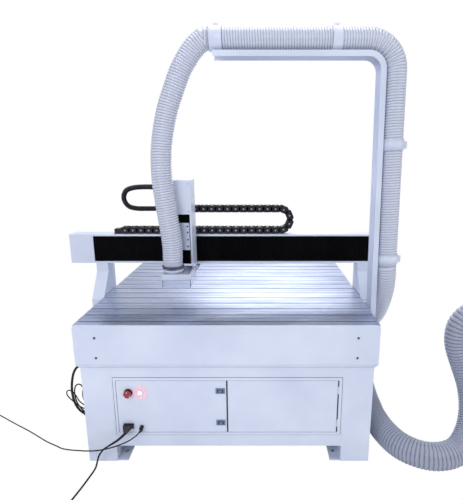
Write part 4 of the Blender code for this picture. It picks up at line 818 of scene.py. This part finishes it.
def chain_places():
    """Place of each link and its share of the carriage's travel: lower run, bend, upper run."""
    middle = CHAIN_LEVEL + CHAIN_HEIGHT / 2
    width_y = (CHAIN_Y[0] + CHAIN_Y[1]) / 2
    lower, bend, upper = [], [], []
    count = int((CHAIN_BEND_X - CHAIN_START_X) / CHAIN_PITCH)
    for i in range(count):
        lower.append(Matrix.Translation((CHAIN_BEND_X - CHAIN_PITCH * (i + 0.5), width_y, middle)))
    turns = int(round(math.pi * CHAIN_BEND_RADIUS / CHAIN_PITCH))
    for i in range(turns):
        turn = math.pi * (i + 0.5) / turns
        x = CHAIN_BEND_X + CHAIN_BEND_RADIUS * math.sin(turn)
        z = middle + CHAIN_BEND_RADIUS * (1 - math.cos(turn))
        bend.append(Matrix.Translation((x, width_y, z)) @ Matrix.Rotation(-turn, 4, "Y"))
    count = int((CHAIN_BEND_X - CHAIN_END_X) / CHAIN_PITCH)
    for i in range(count):
        upper.append(Matrix.Translation((CHAIN_BEND_X - CHAIN_PITCH * (i + 0.5), width_y,
                                         middle + 2 * CHAIN_BEND_RADIUS)))
    return lower, bend, upper


def chain_run(name, places, weights):
    """Links and rivets of one run; a straight run's links space out or close up with the carriage."""
    width = CHAIN_Y[1] - CHAIN_Y[0]
    front = CHAIN_Y[0] - (CHAIN_Y[0] + CHAIN_Y[1]) / 2
    for i, place in enumerate(places):
        bm = bmesh.new()
        link(bm, place, width - 0.002)
        made = solid(f"{name}_link_{i + 1}", bm, CHAIN_PLASTIC, smooth=False)
        rivets = discs("Y", ((0, front + 0.0004, 0), 0.0050, 0.0016), sides=14)
        rivets.transform(place)
        dots = solid(f"{name}_rivet_{i + 1}", rivets, BRASS_DOT, smooth=False)
        share = weights[0] + (weights[1] - weights[0]) * (i + 0.5) / len(places)
        for piece in (made, dots):
            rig.slot(piece, "black")
            carried(piece, share, place.translation)
        yield made


def carried(piece, share, at):
    """The piece keeps its shape and moves by a share of the carriage's travel."""
    if share <= 0.001:
        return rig.ride(piece, "gantry")
    if share >= 0.999:
        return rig.ride(piece, "carriage")
    place = 0.5 - math.sin(math.asin(1 - 2 * share) / 3)
    reach = 1000.0
    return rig.blend(piece, "gantry", "carriage", (at[0] - place * reach, at[1], at[2]),
                    (at[0] + (1 - place) * reach, at[1], at[2]))


def energy_chain():
    lower, bend, upper = chain_places()
    made = [*chain_run("chain_lower", lower, (0.5, 0.0)), *chain_run("chain_bend", bend, (0.5, 0.5)),
            *chain_run("chain_upper", upper, (0.5, 1.0))]
    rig.replaces(made[0], "chain_lower", "chain_upper")
    end = solid("chain_fixed_end", boxes(((CHAIN_START_X - 0.030, CHAIN_Y[0] + 0.004, CHAIN_LEVEL),
                                          (CHAIN_START_X + 0.012, CHAIN_Y[1] - 0.004,
                                           CHAIN_LEVEL + 0.030))),
                CHAIN_PLASTIC, 0.003)
    follow(end, "gantry", (), "black")
    tag = solid("chain_cable_tag", boxes(((CHAIN_START_X - 0.028, CHAIN_Y[0] - 0.002, CHAIN_LEVEL + 0.004),
                                          (CHAIN_START_X - 0.018, CHAIN_Y[0] + 0.004,
                                           CHAIN_LEVEL + 0.014))), STOP_RED)
    follow(tag, "gantry", (), "red")
    moving = solid("chain_moving_end", boxes(((CHAIN_END_X - 0.002, CHAIN_Y[0] + 0.003,
                                               CHAIN_LEVEL + 2 * CHAIN_BEND_RADIUS + 0.004),
                                              (CHAIN_END_X + 0.030, CHAIN_Y[1] - 0.003,
                                               CHAIN_LEVEL + 2 * CHAIN_BEND_RADIUS + 0.038))),
                   CHAIN_PLASTIC, 0.003)
    follow(moving, "carriage", (), "black")


# ---- bellows -----------------------------------------------------------------------------------------------


def x_bellows_part(name, low, high, front, depth, span, pitch, slot_name):
    """One length of pleated cover.

    p(x, v) = (x, front + depth * |2 * frac(x / pitch) - 1|, z(v)), with the skin returning behind it.
    """
    x = np.arange(low, high + pitch / 8, pitch / 4)
    x[-1] = high
    fold = front + depth * np.abs(2 * ((x / pitch) % 1.0) - 1)
    loop = np.array([(0, span[0]), (0, span[1]), (0.0035, span[1]), (0.0035, span[0])])
    points = np.zeros((len(x), 4, 3))
    points[:, :, 0] = x[:, None]
    points[:, :, 1] = fold[:, None] + loop[None, :, 0]
    points[:, :, 2] = loop[None, :, 1]
    made = surface(name, points, COVER_FABRIC, wrap=True, smooth=False)
    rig.slot(made, slot_name)
    return made


def bellows():
    """X covers on both sides of the carriage and Z covers above and below the spindle clamp."""
    for side, span, weights in (("left", (-0.8250, -0.3645), (0.0, 1.0)),
                                ("right", (-0.2135, 0.8200), (1.0, 0.0))):
        made = []

        def part(i, low, high, start, end, bodies):
            piece = x_bellows_part(f"x_cover_{side}_{i + 1}", low, high, -0.1550, 0.0055, (0.9478, 1.0982),
                                   0.0105, "rubber")
            made.append(piece)
            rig.blend(piece, *bodies, (start, -0.15, 1.0), (end, -0.15, 1.0))

        if side == "left":
            bend_along_x(part, span, weights, ("gantry", "carriage"), 8)
        else:
            bend_along_x(part, span, (0.0, 1.0), ("carriage", "gantry"), 8)
        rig.replaces(made[0], f"x_bellows_{side}")
    for name, span, moving_top in (("z_bellows_lower", (0.9672, 1.0465), True),
                                   ("z_bellows_upper", (1.1995, 1.2455), False)):
        bodies = ("carriage", "z_slide") if moving_top else ("z_slide", "carriage")
        edges = np.linspace(*span, 7)
        shares = np.linspace(0, 1, 7)
        place = 0.5 - np.sin(np.arcsin(1 - 2 * shares) / 3)
        for i in range(6):
            z = np.linspace(edges[i], edges[i + 1], 9)
            fold = -0.3138 + 0.0040 * np.abs(2 * (((z - span[0]) / 0.0066) % 1.0) - 1)
            loop = np.array([(-0.3533, 0), (-0.2247, 0), (-0.2247, 0.002), (-0.3533, 0.002)])
            points = np.zeros((9, 4, 3))
            points[:, :, 0] = loop[None, :, 0]
            points[:, :, 1] = fold[:, None] + loop[None, :, 1]
            points[:, :, 2] = z[:, None]
            piece = surface(f"{name}_pleats_{i + 1}", points, COVER_FABRIC, wrap=True, smooth=False)
            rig.slot(piece, "rubber")
            reach = (edges[i + 1] - edges[i]) / (place[i + 1] - place[i])
            start = edges[i] - place[i] * reach
            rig.blend(piece, *bodies, (-0.289, -0.31, start), (-0.289, -0.31, start + reach))
            if i == 0:
                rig.replaces(piece, name)


# ---- frame, covers and table -------------------------------------------------------------------------------


def paint_frame():
    """Gives every CAD piece that stays in view its finish and rounded edges."""
    finishes = {
        PAINT: ("pedestal_left", "pedestal_right", "front_frame", "door_frame", "control_panel",
                "right_door",
                "cabinet_shell", "bed_frame", "front_cover", "rear_cover", "hose_reducer", "upright_left",
                "upright_right", "gantry_beam", "motor_end_box", "boom_channel", "carriage_frame",
                "column_cover"),
        TABLE_METAL: ("table",),
        CARRIER_METAL: ("z_carrier", "x_saddle"),
        STEEL: ("x_screw", "y_screw_left", "y_screw_right", "z_screw", "spindle_body", "spindle_shaft"),
        BLACK_FELT: ("x_motor", "y_motor_left", "y_motor_right", "z_motor"),
        BLACK_PLASTIC: ("mains_inlet", "data_connector", "mains_plug", "data_plug"),
        LATCH_GREY: ("latch_thumb_lower", "latch_thumb_upper", "control_unit"),
        DUCT_GREY: ("duct_fitting",),
    }
    edges = {"table": 0.0006, "boom_channel": 0.0008, "front_cover": 0.0020, "rear_cover": 0.0020,
             "gantry_beam": 0.0010, "motor_end_box": 0.0015, "upright_left": 0.0020,
             "upright_right": 0.0020,
             "pedestal_left": 0.0015, "pedestal_right": 0.0015, "column_cover": 0.0018,
             "door_frame": 0.0006,
             "control_panel": 0.0007, "right_door": 0.0012, "z_carrier": 0.0008}
    for finish, names in finishes.items():
        for name in names:
            piece = frame["nodes"][name]
            piece.data.materials.clear()
            piece.data.materials.append(finish)
            round_edges(piece, edges.get(name, 0.0005))


def cover_details():
    """Four flange screws on the front apron, and a darker strip of painted shade on the fold along its lower edge."""
    heads = []
    for x in (-0.641, 0.641):
        for z in (0.594, 0.699):
            heads.append(((x, -0.7515, z), 0.0058, 0.003))
    screws = solid("apron_screws", discs("Y", *heads, sides=20), CLAMP_GREY, 0.0008)
    follow(screws, "base", (), "steel")
    # Black discs on the screw heads: painted shade of their hex sockets.
    sockets = solid("apron_screw_socket_shade",
                    discs("Y", *(((x, -0.7531, z), 0.0028, 0.0006) for (x, _, z), _, _ in heads),
                                                 sides=6), BLACK_PLASTIC, smooth=False)
    follow(sockets, "base", (), "black")
    # A thin darker sheet laid on the fold's chamfer: painted shade of its underside.
    strip = bmesh.new()
    for x in (-1, 1):
        for out in (0.0001, 0.0005):
            strip.verts.new((0.7440 * x, -0.7500 - 0.87 * out, 0.5580 - 0.49 * out))
            strip.verts.new((0.7345 * x, -0.7402 - 0.87 * out, 0.5406 - 0.49 * out))
    bmesh.ops.convex_hull(strip, input=strip.verts)
    fold = solid("apron_fold_painted_shade", strip, APRON_FOLD_PAINTED_SHADE, smooth=False)
    follow(fold, "base", (), "paint")


def table_details():
    """Dark joint lines between the planks."""
    front = -TABLE_HALF + 0.0095
    pitch = -2 * front / PLANKS
    lines = []
    for i in range(1, PLANKS):
        y = front + pitch * i
        lines.append(((-TABLE_HALF + 0.001, y - 0.0006, TABLE_TOP - 0.0002),
                      (TABLE_HALF - 0.001, y + 0.0006, TABLE_TOP + 0.0002)))
    seams = solid("table_joint_lines", boxes(*lines), SHADOW_AND_JOINT_DARK, smooth=False)
    follow(seams, "base", (), "aluminium")


def cabinet_details():
    """Painted shadow in the gaps round the door frame and panels, and the foot bolts."""
    low, high, half = 0.155, 0.482, 0.579
    line = 0.0034
    gaps = [((-half, PANEL_FACE + 0.002, high - line), (half, PANEL_FACE + 0.0035, high)),
            ((-half, PANEL_FACE + 0.002, low), (half, PANEL_FACE + 0.0035, low + line)),
            ((-half, PANEL_FACE + 0.002, low), (-half + line, PANEL_FACE + 0.0035, high)),
            ((half - line, PANEL_FACE + 0.002, low), (half, PANEL_FACE + 0.0035, high)),
            ((-0.0076, PANEL_FACE + 0.0020, 0.173), (-0.0004, PANEL_FACE + 0.0110, 0.462)),
            ((0.5554, PANEL_FACE + 0.0020, 0.173), (0.5616, PANEL_FACE + 0.0110, 0.462))]
    # The dark boxes are painted shadow in the gaps round the door frame and between the panels.
    shadow = solid("door_shadow_gaps", boxes(*gaps), SHADOW_AND_JOINT_DARK, smooth=False)
    follow(shadow, "base", (), "paint")
    feet = []
    for x in (-0.556, 0.556):
        for y in (-0.66, 0.64):
            feet.append(((x, y, 0.0085), 0.010, 0.005))
    bolts = solid("foot_bolts", discs("Z", *feet, sides=6), STEEL, 0.0008)
    follow(bolts, "base", (), "steel")


def latches():
    """Grey slam latches on the panel: a rounded case, a dark plate of painted shade for its sunk well, and a thumb
    piece.
    """
    for name, z in zip(("lower", "upper"), LATCH_HEIGHTS):
        face = PANEL_FACE - 0.0030
        case = solid(f"latch_case_{name}", boxes(((-0.0612, face - 0.0012, z - 0.0150),
                                                  (-0.0138, PANEL_FACE + 0.0004, z + 0.0150))),
                     LATCH_GREY, 0.0018)
        follow(case, "base", (), "grey")
        # The well is a flat dark plate on the case front: painted shade of the recess.
        well_shade = solid(f"latch_well_painted_shade_{name}",
                     boxes(((-0.0520, face - 0.0015, z - 0.0085), (-0.0225, face - 0.0011, z + 0.0085))),
                     SHADOW_AND_JOINT_DARK, 0.0)
        follow(well_shade, "base", (), "grey")
        thumb = solid(f"latch_thumb_{name}",
                      boxes(((-0.0465, face - 0.0050, z - 0.0060), (-0.0285, face - 0.0014, z + 0.0060))),
                      LATCH_GREY, 0.0012)
        follow(thumb, f"latch_{name}", (f"latch_thumb_{name}",), "grey")


def controls():
    """Mushroom stop button on its collar, lit start button in its ring, and the screws at the mains inlet."""
    x, z = STOP_AT
    face = PANEL_FACE - GAP
    collar = lathe("stop_button_collar",
                   ((0.0080, 0.0), (0.0215, 0.0), (0.0220, 0.0020), (0.0205, 0.0055), (0.0190, 0.0068),
                                          (0.0080, 0.0068), (0.0080, 0.0)), (x, face, z), (0, -1, 0),
                                          BLACK_PLASTIC)
    follow(collar, "base", ("e_stop_collar",), "black")
    head = lathe("stop_button_head", ((0.0001, -0.0025), (0.0070, -0.0025), (0.0070, 0.0130),
                                      (0.0165, 0.0135), (0.0192, 0.0150),
                                      (0.0200, 0.0175), (0.0200, 0.0215), (0.0190, 0.0255),
                                      (0.0165, 0.0290),
                                      (0.0125, 0.0312), (0.0080, 0.0325), (0.0001, 0.0330)),
                                      (x, PANEL_FACE, z), (0, -1, 0), STOP_RED)
    follow(head, "stop_button", ("e_stop_head",), "red")
    # Three white dots on the red head take the lit lamp's emissive material: painted light, glowing though they are no
    # lamp.
    glowing_dots = []
    for turn in (90, 210, 330):
        a = math.radians(turn)
        glowing_dots.append(((x + 0.0145 * math.cos(a), PANEL_FACE - 0.0302, z + 0.0145 * math.sin(a)), 0.0018,
                      0.0006))
    dots = solid("stop_button_glowing_dots", discs("Y", *glowing_dots, sides=12), LAMP_WHITE, smooth=False)
    follow(dots, "stop_button", (), "lamp")
    x, z = LAMP_AT
    ring = lathe("start_button_ring",
                 ((0.0106, 0.0), (0.0106, 0.0052), (0.0125, 0.0056), (0.0146, 0.0046), (0.0152, 0.0020),
                  (0.0152, -0.0005)), (x, PANEL_FACE, z), (0, -1, 0), PAINT)
    follow(ring, "base", (), "steel")
    lens = lathe("start_button_lens", ((0.0098, -0.0020), (0.0098, 0.0042), (0.0090, 0.0050),
                                       (0.0060, 0.0054), (0.0001, 0.0055)),
                 (x, PANEL_FACE, z), (0, -1, 0), LAMP_WHITE)
    follow(lens, "start_button", ("power_button",), "lamp")
    x, z = INLET_AT
    screws = solid("inlet_screws", discs("Y", ((x - 0.0215, PANEL_FACE - 0.0040, z), 0.0028, 0.0012),
                                         ((x + 0.0215, PANEL_FACE - 0.0040, z), 0.0028, 0.0012), sides=14),
                                         STEEL)
    follow(screws, "base", (), "steel")


def glow():
    """Soft pink halo on the sheet round the lit button: a thin disc whose tint fades with the radius."""
    made = bpy.data.materials.new("lamp_glow_on_paint")
    made.use_nodes = True
    tree = made.node_tree
    shader = tree.nodes["Principled BSDF"]
    shader.inputs["Base Color"].default_value = linear("#ffc9cf")
    shader.inputs["Roughness"].default_value = 0.5
    shader.inputs["Emission Color"].default_value = linear("#ff9fa8")
    shader.inputs["Emission Strength"].default_value = 0.40
    fade = node(tree, "ShaderNodeAttribute")
    fade.attribute_name = "rib"
    tree.links.new(fade.outputs["Fac"], shader.inputs["Alpha"])
    x, z = LAMP_AT
    radii = np.linspace(0.0155, 0.058, 14)
    angle = np.linspace(0, 2 * math.pi, 48, endpoint=False)
    points = np.stack([x + radii[:, None] * np.cos(angle), np.full((14, 48), PANEL_FACE - 0.0004),
                       z + radii[:, None] * np.sin(angle)], axis=-1)
    share = (1 - (radii - radii[0]) / (radii[-1] - radii[0])) ** 2.2
    halo = surface("start_button_glow", points, made, wrap=True,
                   rib=np.repeat(share[:, None] * 0.75, 48, axis=1))
    follow(halo, "base", (), "lamp")


# ---- column, spindle and dust shoe -------------------------------------------------------------------------


def column_details():
    """Clamp plate in front of the spindle with its bolts, the column's painted strips and cover screws."""
    left, right = -0.350, -0.228
    plate = solid("spindle_clamp_plate",
                  boxes(((left + 0.004, -0.3165, 1.052), (right - 0.002, -0.3143, 1.194))),
                  CARRIER_METAL, 0.0012)
    follow(plate, "z_slide", (), "aluminium")
    heads, sockets = [], []
    for z in (1.068, 1.106, 1.146, 1.180):
        for x in (right - 0.010, left + 0.012):
            heads.append(((x, -0.3172, z), 0.0048, 0.0020))
            sockets.append(((x, -0.3183, z), 0.0026, 0.0004))
    bolts = solid("clamp_bolts", discs("Y", *heads, sides=20), BLACK_PLASTIC, 0.0005)
    follow(bolts, "z_slide", (), "steel")
    holes = solid("clamp_bolt_sockets", discs("Y", *sockets, sides=6), SHADOW_AND_JOINT_DARK, smooth=False)
    follow(holes, "z_slide", (), "steel")
    strip = solid("wing_front_strips", boxes(((COLUMN_X[0] + 0.0012, COLUMN_FRONT - 0.0006, 0.972),
                                              (COLUMN_X[0] + 0.0088, COLUMN_FRONT + 0.0004, 1.242)),
                                             ((COLUMN_X[1] - 0.0088, COLUMN_FRONT - 0.0006, 0.972),
                                              (COLUMN_X[1] - 0.0012, COLUMN_FRONT + 0.0004, 1.242))),
                  PAINT)
    follow(strip, "carriage", (), "paint")
    dots = []
    for x in (COLUMN_X[0] + 0.012, COLUMN_X[1] - 0.012):
        for z in (1.262, 1.412):
            dots.append(((x, COLUMN_FRONT - 0.0010, z), 0.0038, 0.0022))
    screws = solid("column_cover_screws", discs("Y", *dots, sides=16), STEEL, 0.0005)
    follow(screws, "carriage", (), "steel")


def plate_round_hole(hole, radius, low, high, top, thick):
    """A flat rectangle with a round hole.

    Ring a of the hole is hole + radius * (cos a, sin a); ring a of the rim is where the ray from the hole's
    centre at angle a meets the rectangle. The skin goes out along the top, down the rim and back
    along the underside.
    """
    centre, low, high = np.array(hole), np.array(low), np.array(high)
    corners = [math.atan2(y - centre[1], x - centre[0])
               for x in (low[0], high[0]) for y in (low[1], high[1])]
    angle = np.sort(np.concatenate([(np.arange(72) + 0.5) * math.pi / 36 - math.pi, corners]))
    ray = np.stack([np.cos(angle), np.sin(angle)], axis=-1)
    reach = (np.where(ray > 0, high - centre, low - centre) / ray).min(axis=1)
    inner, outer = centre + radius * ray, centre + reach[:, None] * ray
    rings = ((inner, top - thick), (inner, top), (outer, top), (outer, top - thick), (inner, top - thick))
    return np.stack([np.column_stack([ring, np.full(len(angle), z)]) for ring, z in rings])


def dust_shoe():
    """Clear shoe: two plates, a skirt of thin sheets, the port with its ring and clamp, and the straps."""
    left, right, front, back = -0.3685, -0.2135, -0.4320, -0.2150
    bottom, under, top = 0.862, 0.925, 0.933
    x, y = SHOE_PORT[:2]
    wall = 0.004
    sheets = (((left, front, bottom), (right, front + wall, under)),
              ((left, back - wall, bottom), (right, back, under)),
              ((left, front + wall, bottom), (left + wall, back - wall, under)),
              ((right - wall, front + wall, bottom), (right, back - wall, under)))
    skirt = solid("shoe_skirt", boxes(*sheets), CLEAR_PLASTIC, 0.0008)
    follow(skirt, "carriage", ("dust_shoe",), "clear")
    flange = solid("shoe_flange", boxes(((left - 0.002, front - 0.002, 0.905),
                                         (right + 0.002, front + 0.010, top + 0.001)),
                                        ((left - 0.002, back - 0.010, 0.905),
                                         (right + 0.002, back + 0.002, top + 0.001)),
                                        ((left - 0.002, front + 0.010, 0.905),
                                         (left + 0.008, back - 0.010, top + 0.001)),
                                        ((right - 0.008, front + 0.010, 0.905),
                                         (right + 0.002, back - 0.010, top + 0.001))), PAINT, 0.0015)
    follow(flange, "carriage", (), "paint")
    split = (SPINDLE_AT[1] - SPINDLE_HOLE + y + 0.046) / 2
    for part, hole, radius, low_y, high_y in (("front", (x, y), 0.046, front + 0.004, split),
                                              ("rear", SPINDLE_AT, SPINDLE_HOLE, split, back - 0.004)):
        points = plate_round_hole(hole, radius, (left + 0.004, low_y), (right - 0.004, high_y), top, 0.006)
        plate = surface(f"shoe_plate_{part}", points, CLEAR_PLASTIC, wrap=True, smooth=False)
        follow(plate, "carriage", (), "clear")
    profile = ((0.0460, -0.025), (0.0500, -0.025), (0.0500, 0.0095), (0.0550, 0.0105), (0.0575, 0.0140),
               (0.0575, 0.0185), (0.0550, 0.0215),
               (0.0500, 0.0220), (0.0460, 0.0220))
    ring = lathe("shoe_port", profile, (x, y, top), (0, 0, 1), PAINT, 64)
    follow(ring, "carriage", (), "paint")
    clamp = lathe("shoe_port_clamp", ((0.0560, -0.007), (0.0592, -0.0065), (0.0592, 0.0065),
                                      (0.0560, 0.007)), (x, y, 0.968), (0, 0, 1), CLAMP_GREY, 64)
    follow(clamp, "carriage", (), "steel")
    lumps = solid("shoe_clamp_screw",
                  boxes(((x - 0.016, y - 0.0700, 0.962), (x - 0.002, y - 0.0580, 0.974)),
                                            ((x + 0.004, y - 0.0695, 0.962),
                                             (x + 0.015, y - 0.0580, 0.974))), CLAMP_GREY, 0.0015)
    follow(lumps, "carriage", (), "steel")
    straps = solid("shoe_straps", boxes(*(((s, COLUMN_FRONT + 0.015, top), (s + 0.009, back, 0.9665))
                                          for s in (COLUMN_X[0] + 0.0005, COLUMN_X[1] - 0.0095))),
                                          CLEAR_PLASTIC, 0.0006)
    follow(straps, "carriage", (), "clear")
    t = np.linspace(0, 1, 24)
    turn = t * 1.9
    centre = np.column_stack([right + 0.002 + 0.020 * t, back - 0.030 - 0.020 * t, 0.905 + 0.055 * t])
    half = 0.011
    sideways = np.column_stack([half * np.sin(turn), half * np.cos(turn), np.zeros(24)])
    points = np.stack([centre - sideways, centre + sideways, centre + sideways + (0.002, 0, 0),
                       centre - sideways + (0.002, 0, 0)], axis=1)
    strap = surface("shoe_twisted_bracket", points, CLEAR_PLASTIC, wrap=True)
    follow(strap, "carriage", (), "clear")


def hose_bands():
    """Bands of the four clamps on the boom, the two on the arm with edge beads."""
    offset = HOSE_RADIUS + CLAMP_STACK
    level = BOOM_TOP + offset
    outer = HOSE_RADIUS + 0.0041
    lean = math.atan2(BOOM_HEAD_X - BOOM_FOOT_X, BOOM_TOP - BOOM_BOTTOM)
    for i, (middle, width) in enumerate(((-0.0545, 0.061), (0.541, 0.047))):
        band = ((outer - 0.0012, -width / 2), (outer + 0.0010, -width / 2),
                (outer + 0.0012, -width / 2 + 0.003), (outer + 0.0004, -width / 2 + 0.006),
                (outer + 0.0004, width / 2 - 0.006), (outer + 0.0012, width / 2 - 0.003),
                (outer + 0.0010, width / 2), (outer - 0.0012, width / 2))
        made = lathe(f"arm_band_{i + 1}", band, (middle, HOSE_Y, level), (1, 0, 0), PAINT, 64)
        follow(made, "gantry", (), "paint")
    axis = (math.sin(lean), 0, math.cos(lean))
    for i, (middle, width) in enumerate(((1.612, 0.056), (1.008, 0.050))):
        band = ((outer - 0.0012, -width / 2), (outer + 0.0012, -width / 2), (outer + 0.0012, width / 2),
                (outer - 0.0012, width / 2))
        made = lathe(f"post_band_{i + 1}", band, (boom_x(middle) + offset, HOSE_Y, middle), axis, PAINT, 64)
        follow(made, "gantry", (), "paint")


# ---- studio ------------------------------------------------------------------------------------------------


def studio():
    """White floor that rises into a white backdrop, large soft lights and an even sky."""
    along = np.concatenate([np.linspace(-7, 3.0, 24),
                            3.0 + 1.5 * np.sin(np.linspace(0, math.pi / 2, 14)[1:]), np.full(10, 4.5)])
    height = np.concatenate([np.zeros(24), 1.5 - 1.5 * np.cos(np.linspace(0, math.pi / 2, 14)[1:]),
                             np.linspace(1.6, 7, 10)])
    across = np.linspace(-7, 7, 8)
    points = np.stack([np.broadcast_to(across, (47, 8)), np.broadcast_to(along[:, None], (47, 8)),
                       np.broadcast_to(height[:, None] - 0.0002, (47, 8))], axis=-1)
    made, tree, shader = material("white_studio_floor", "#ffffff", 0.9)
    path = node(tree, "ShaderNodeLightPath")
    glowing = node(tree, "ShaderNodeEmission", Color=linear("#ffffff"), Strength=1.0)
    both = node(tree, "ShaderNodeMixShader", i0=1.0, i1=shader.outputs["BSDF"],
                i2=glowing.outputs["Emission"])
    view = node(tree, "ShaderNodeMixShader", i0=path.outputs["Is Camera Ray"], i1=shader.outputs["BSDF"],
                i2=both.outputs["Shader"])
    tree.links.new(view.outputs["Shader"], tree.nodes["Material Output"].inputs["Surface"])
    floor = surface("studio_floor", points, made)
    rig.stage(floor)
    world = bpy.data.worlds.new("even_sky")
    world.use_nodes = True
    world.node_tree.nodes["Background"].inputs["Color"].default_value = linear("#eef2ff")
    world.node_tree.nodes["Background"].inputs["Strength"].default_value = 0.50
    bpy.context.scene.world = world
    lights = (("overhead", (0.0, 0.2, 4.6), (0.0, 0.0, 0.8), 2.6, 76, "#f6f8ff"),
              ("front", (-1.6, -4.6, 3.2), (0.0, 0.0, 0.9), 2.4, 82, "#f2f4ff"),
              ("right", (4.0, -1.8, 2.6), (0.3, 0.0, 0.9), 1.8, 30, "#ffffff"),
              ("rear", (0.3, 3.8, 3.2), (0.0, 0.0, 1.0), 3.0, 46, "#eef2ff"))
    for name, place, target, size, power, colour in lights:
        data = bpy.data.lights.new(name, "AREA")
        data.shape = "DISK"
        data.size = size
        data.energy = power
        data.color = linear(colour)[:3]
        lamp_object = bpy.data.objects.new(name, data)
        lamp_object.location = place
        lamp_object.rotation_euler = (Vector(target) - Vector(place)).to_track_quat("-Z", "Y").to_euler()
        lamp_object.visible_camera = False
        bpy.context.scene.collection.objects.link(lamp_object)
    bpy.context.scene.view_settings.view_transform = "Standard"


def main():
    hoses()
    leads()
    conduit()
    energy_chain()
    bellows()
    paint_frame()
    cover_details()
    table_details()
    cabinet_details()
    latches()
    controls()
    glow()
    column_details()
    dust_shoe()
    hose_bands()
    studio()
    boxes_kept = {"cad": [list(corner) for corner in cad_box],
                  "visual": [list(corner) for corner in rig.bounds()]}
    with open("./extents.json", "w") as kept:
        json.dump(boxes_kept, kept)


main()
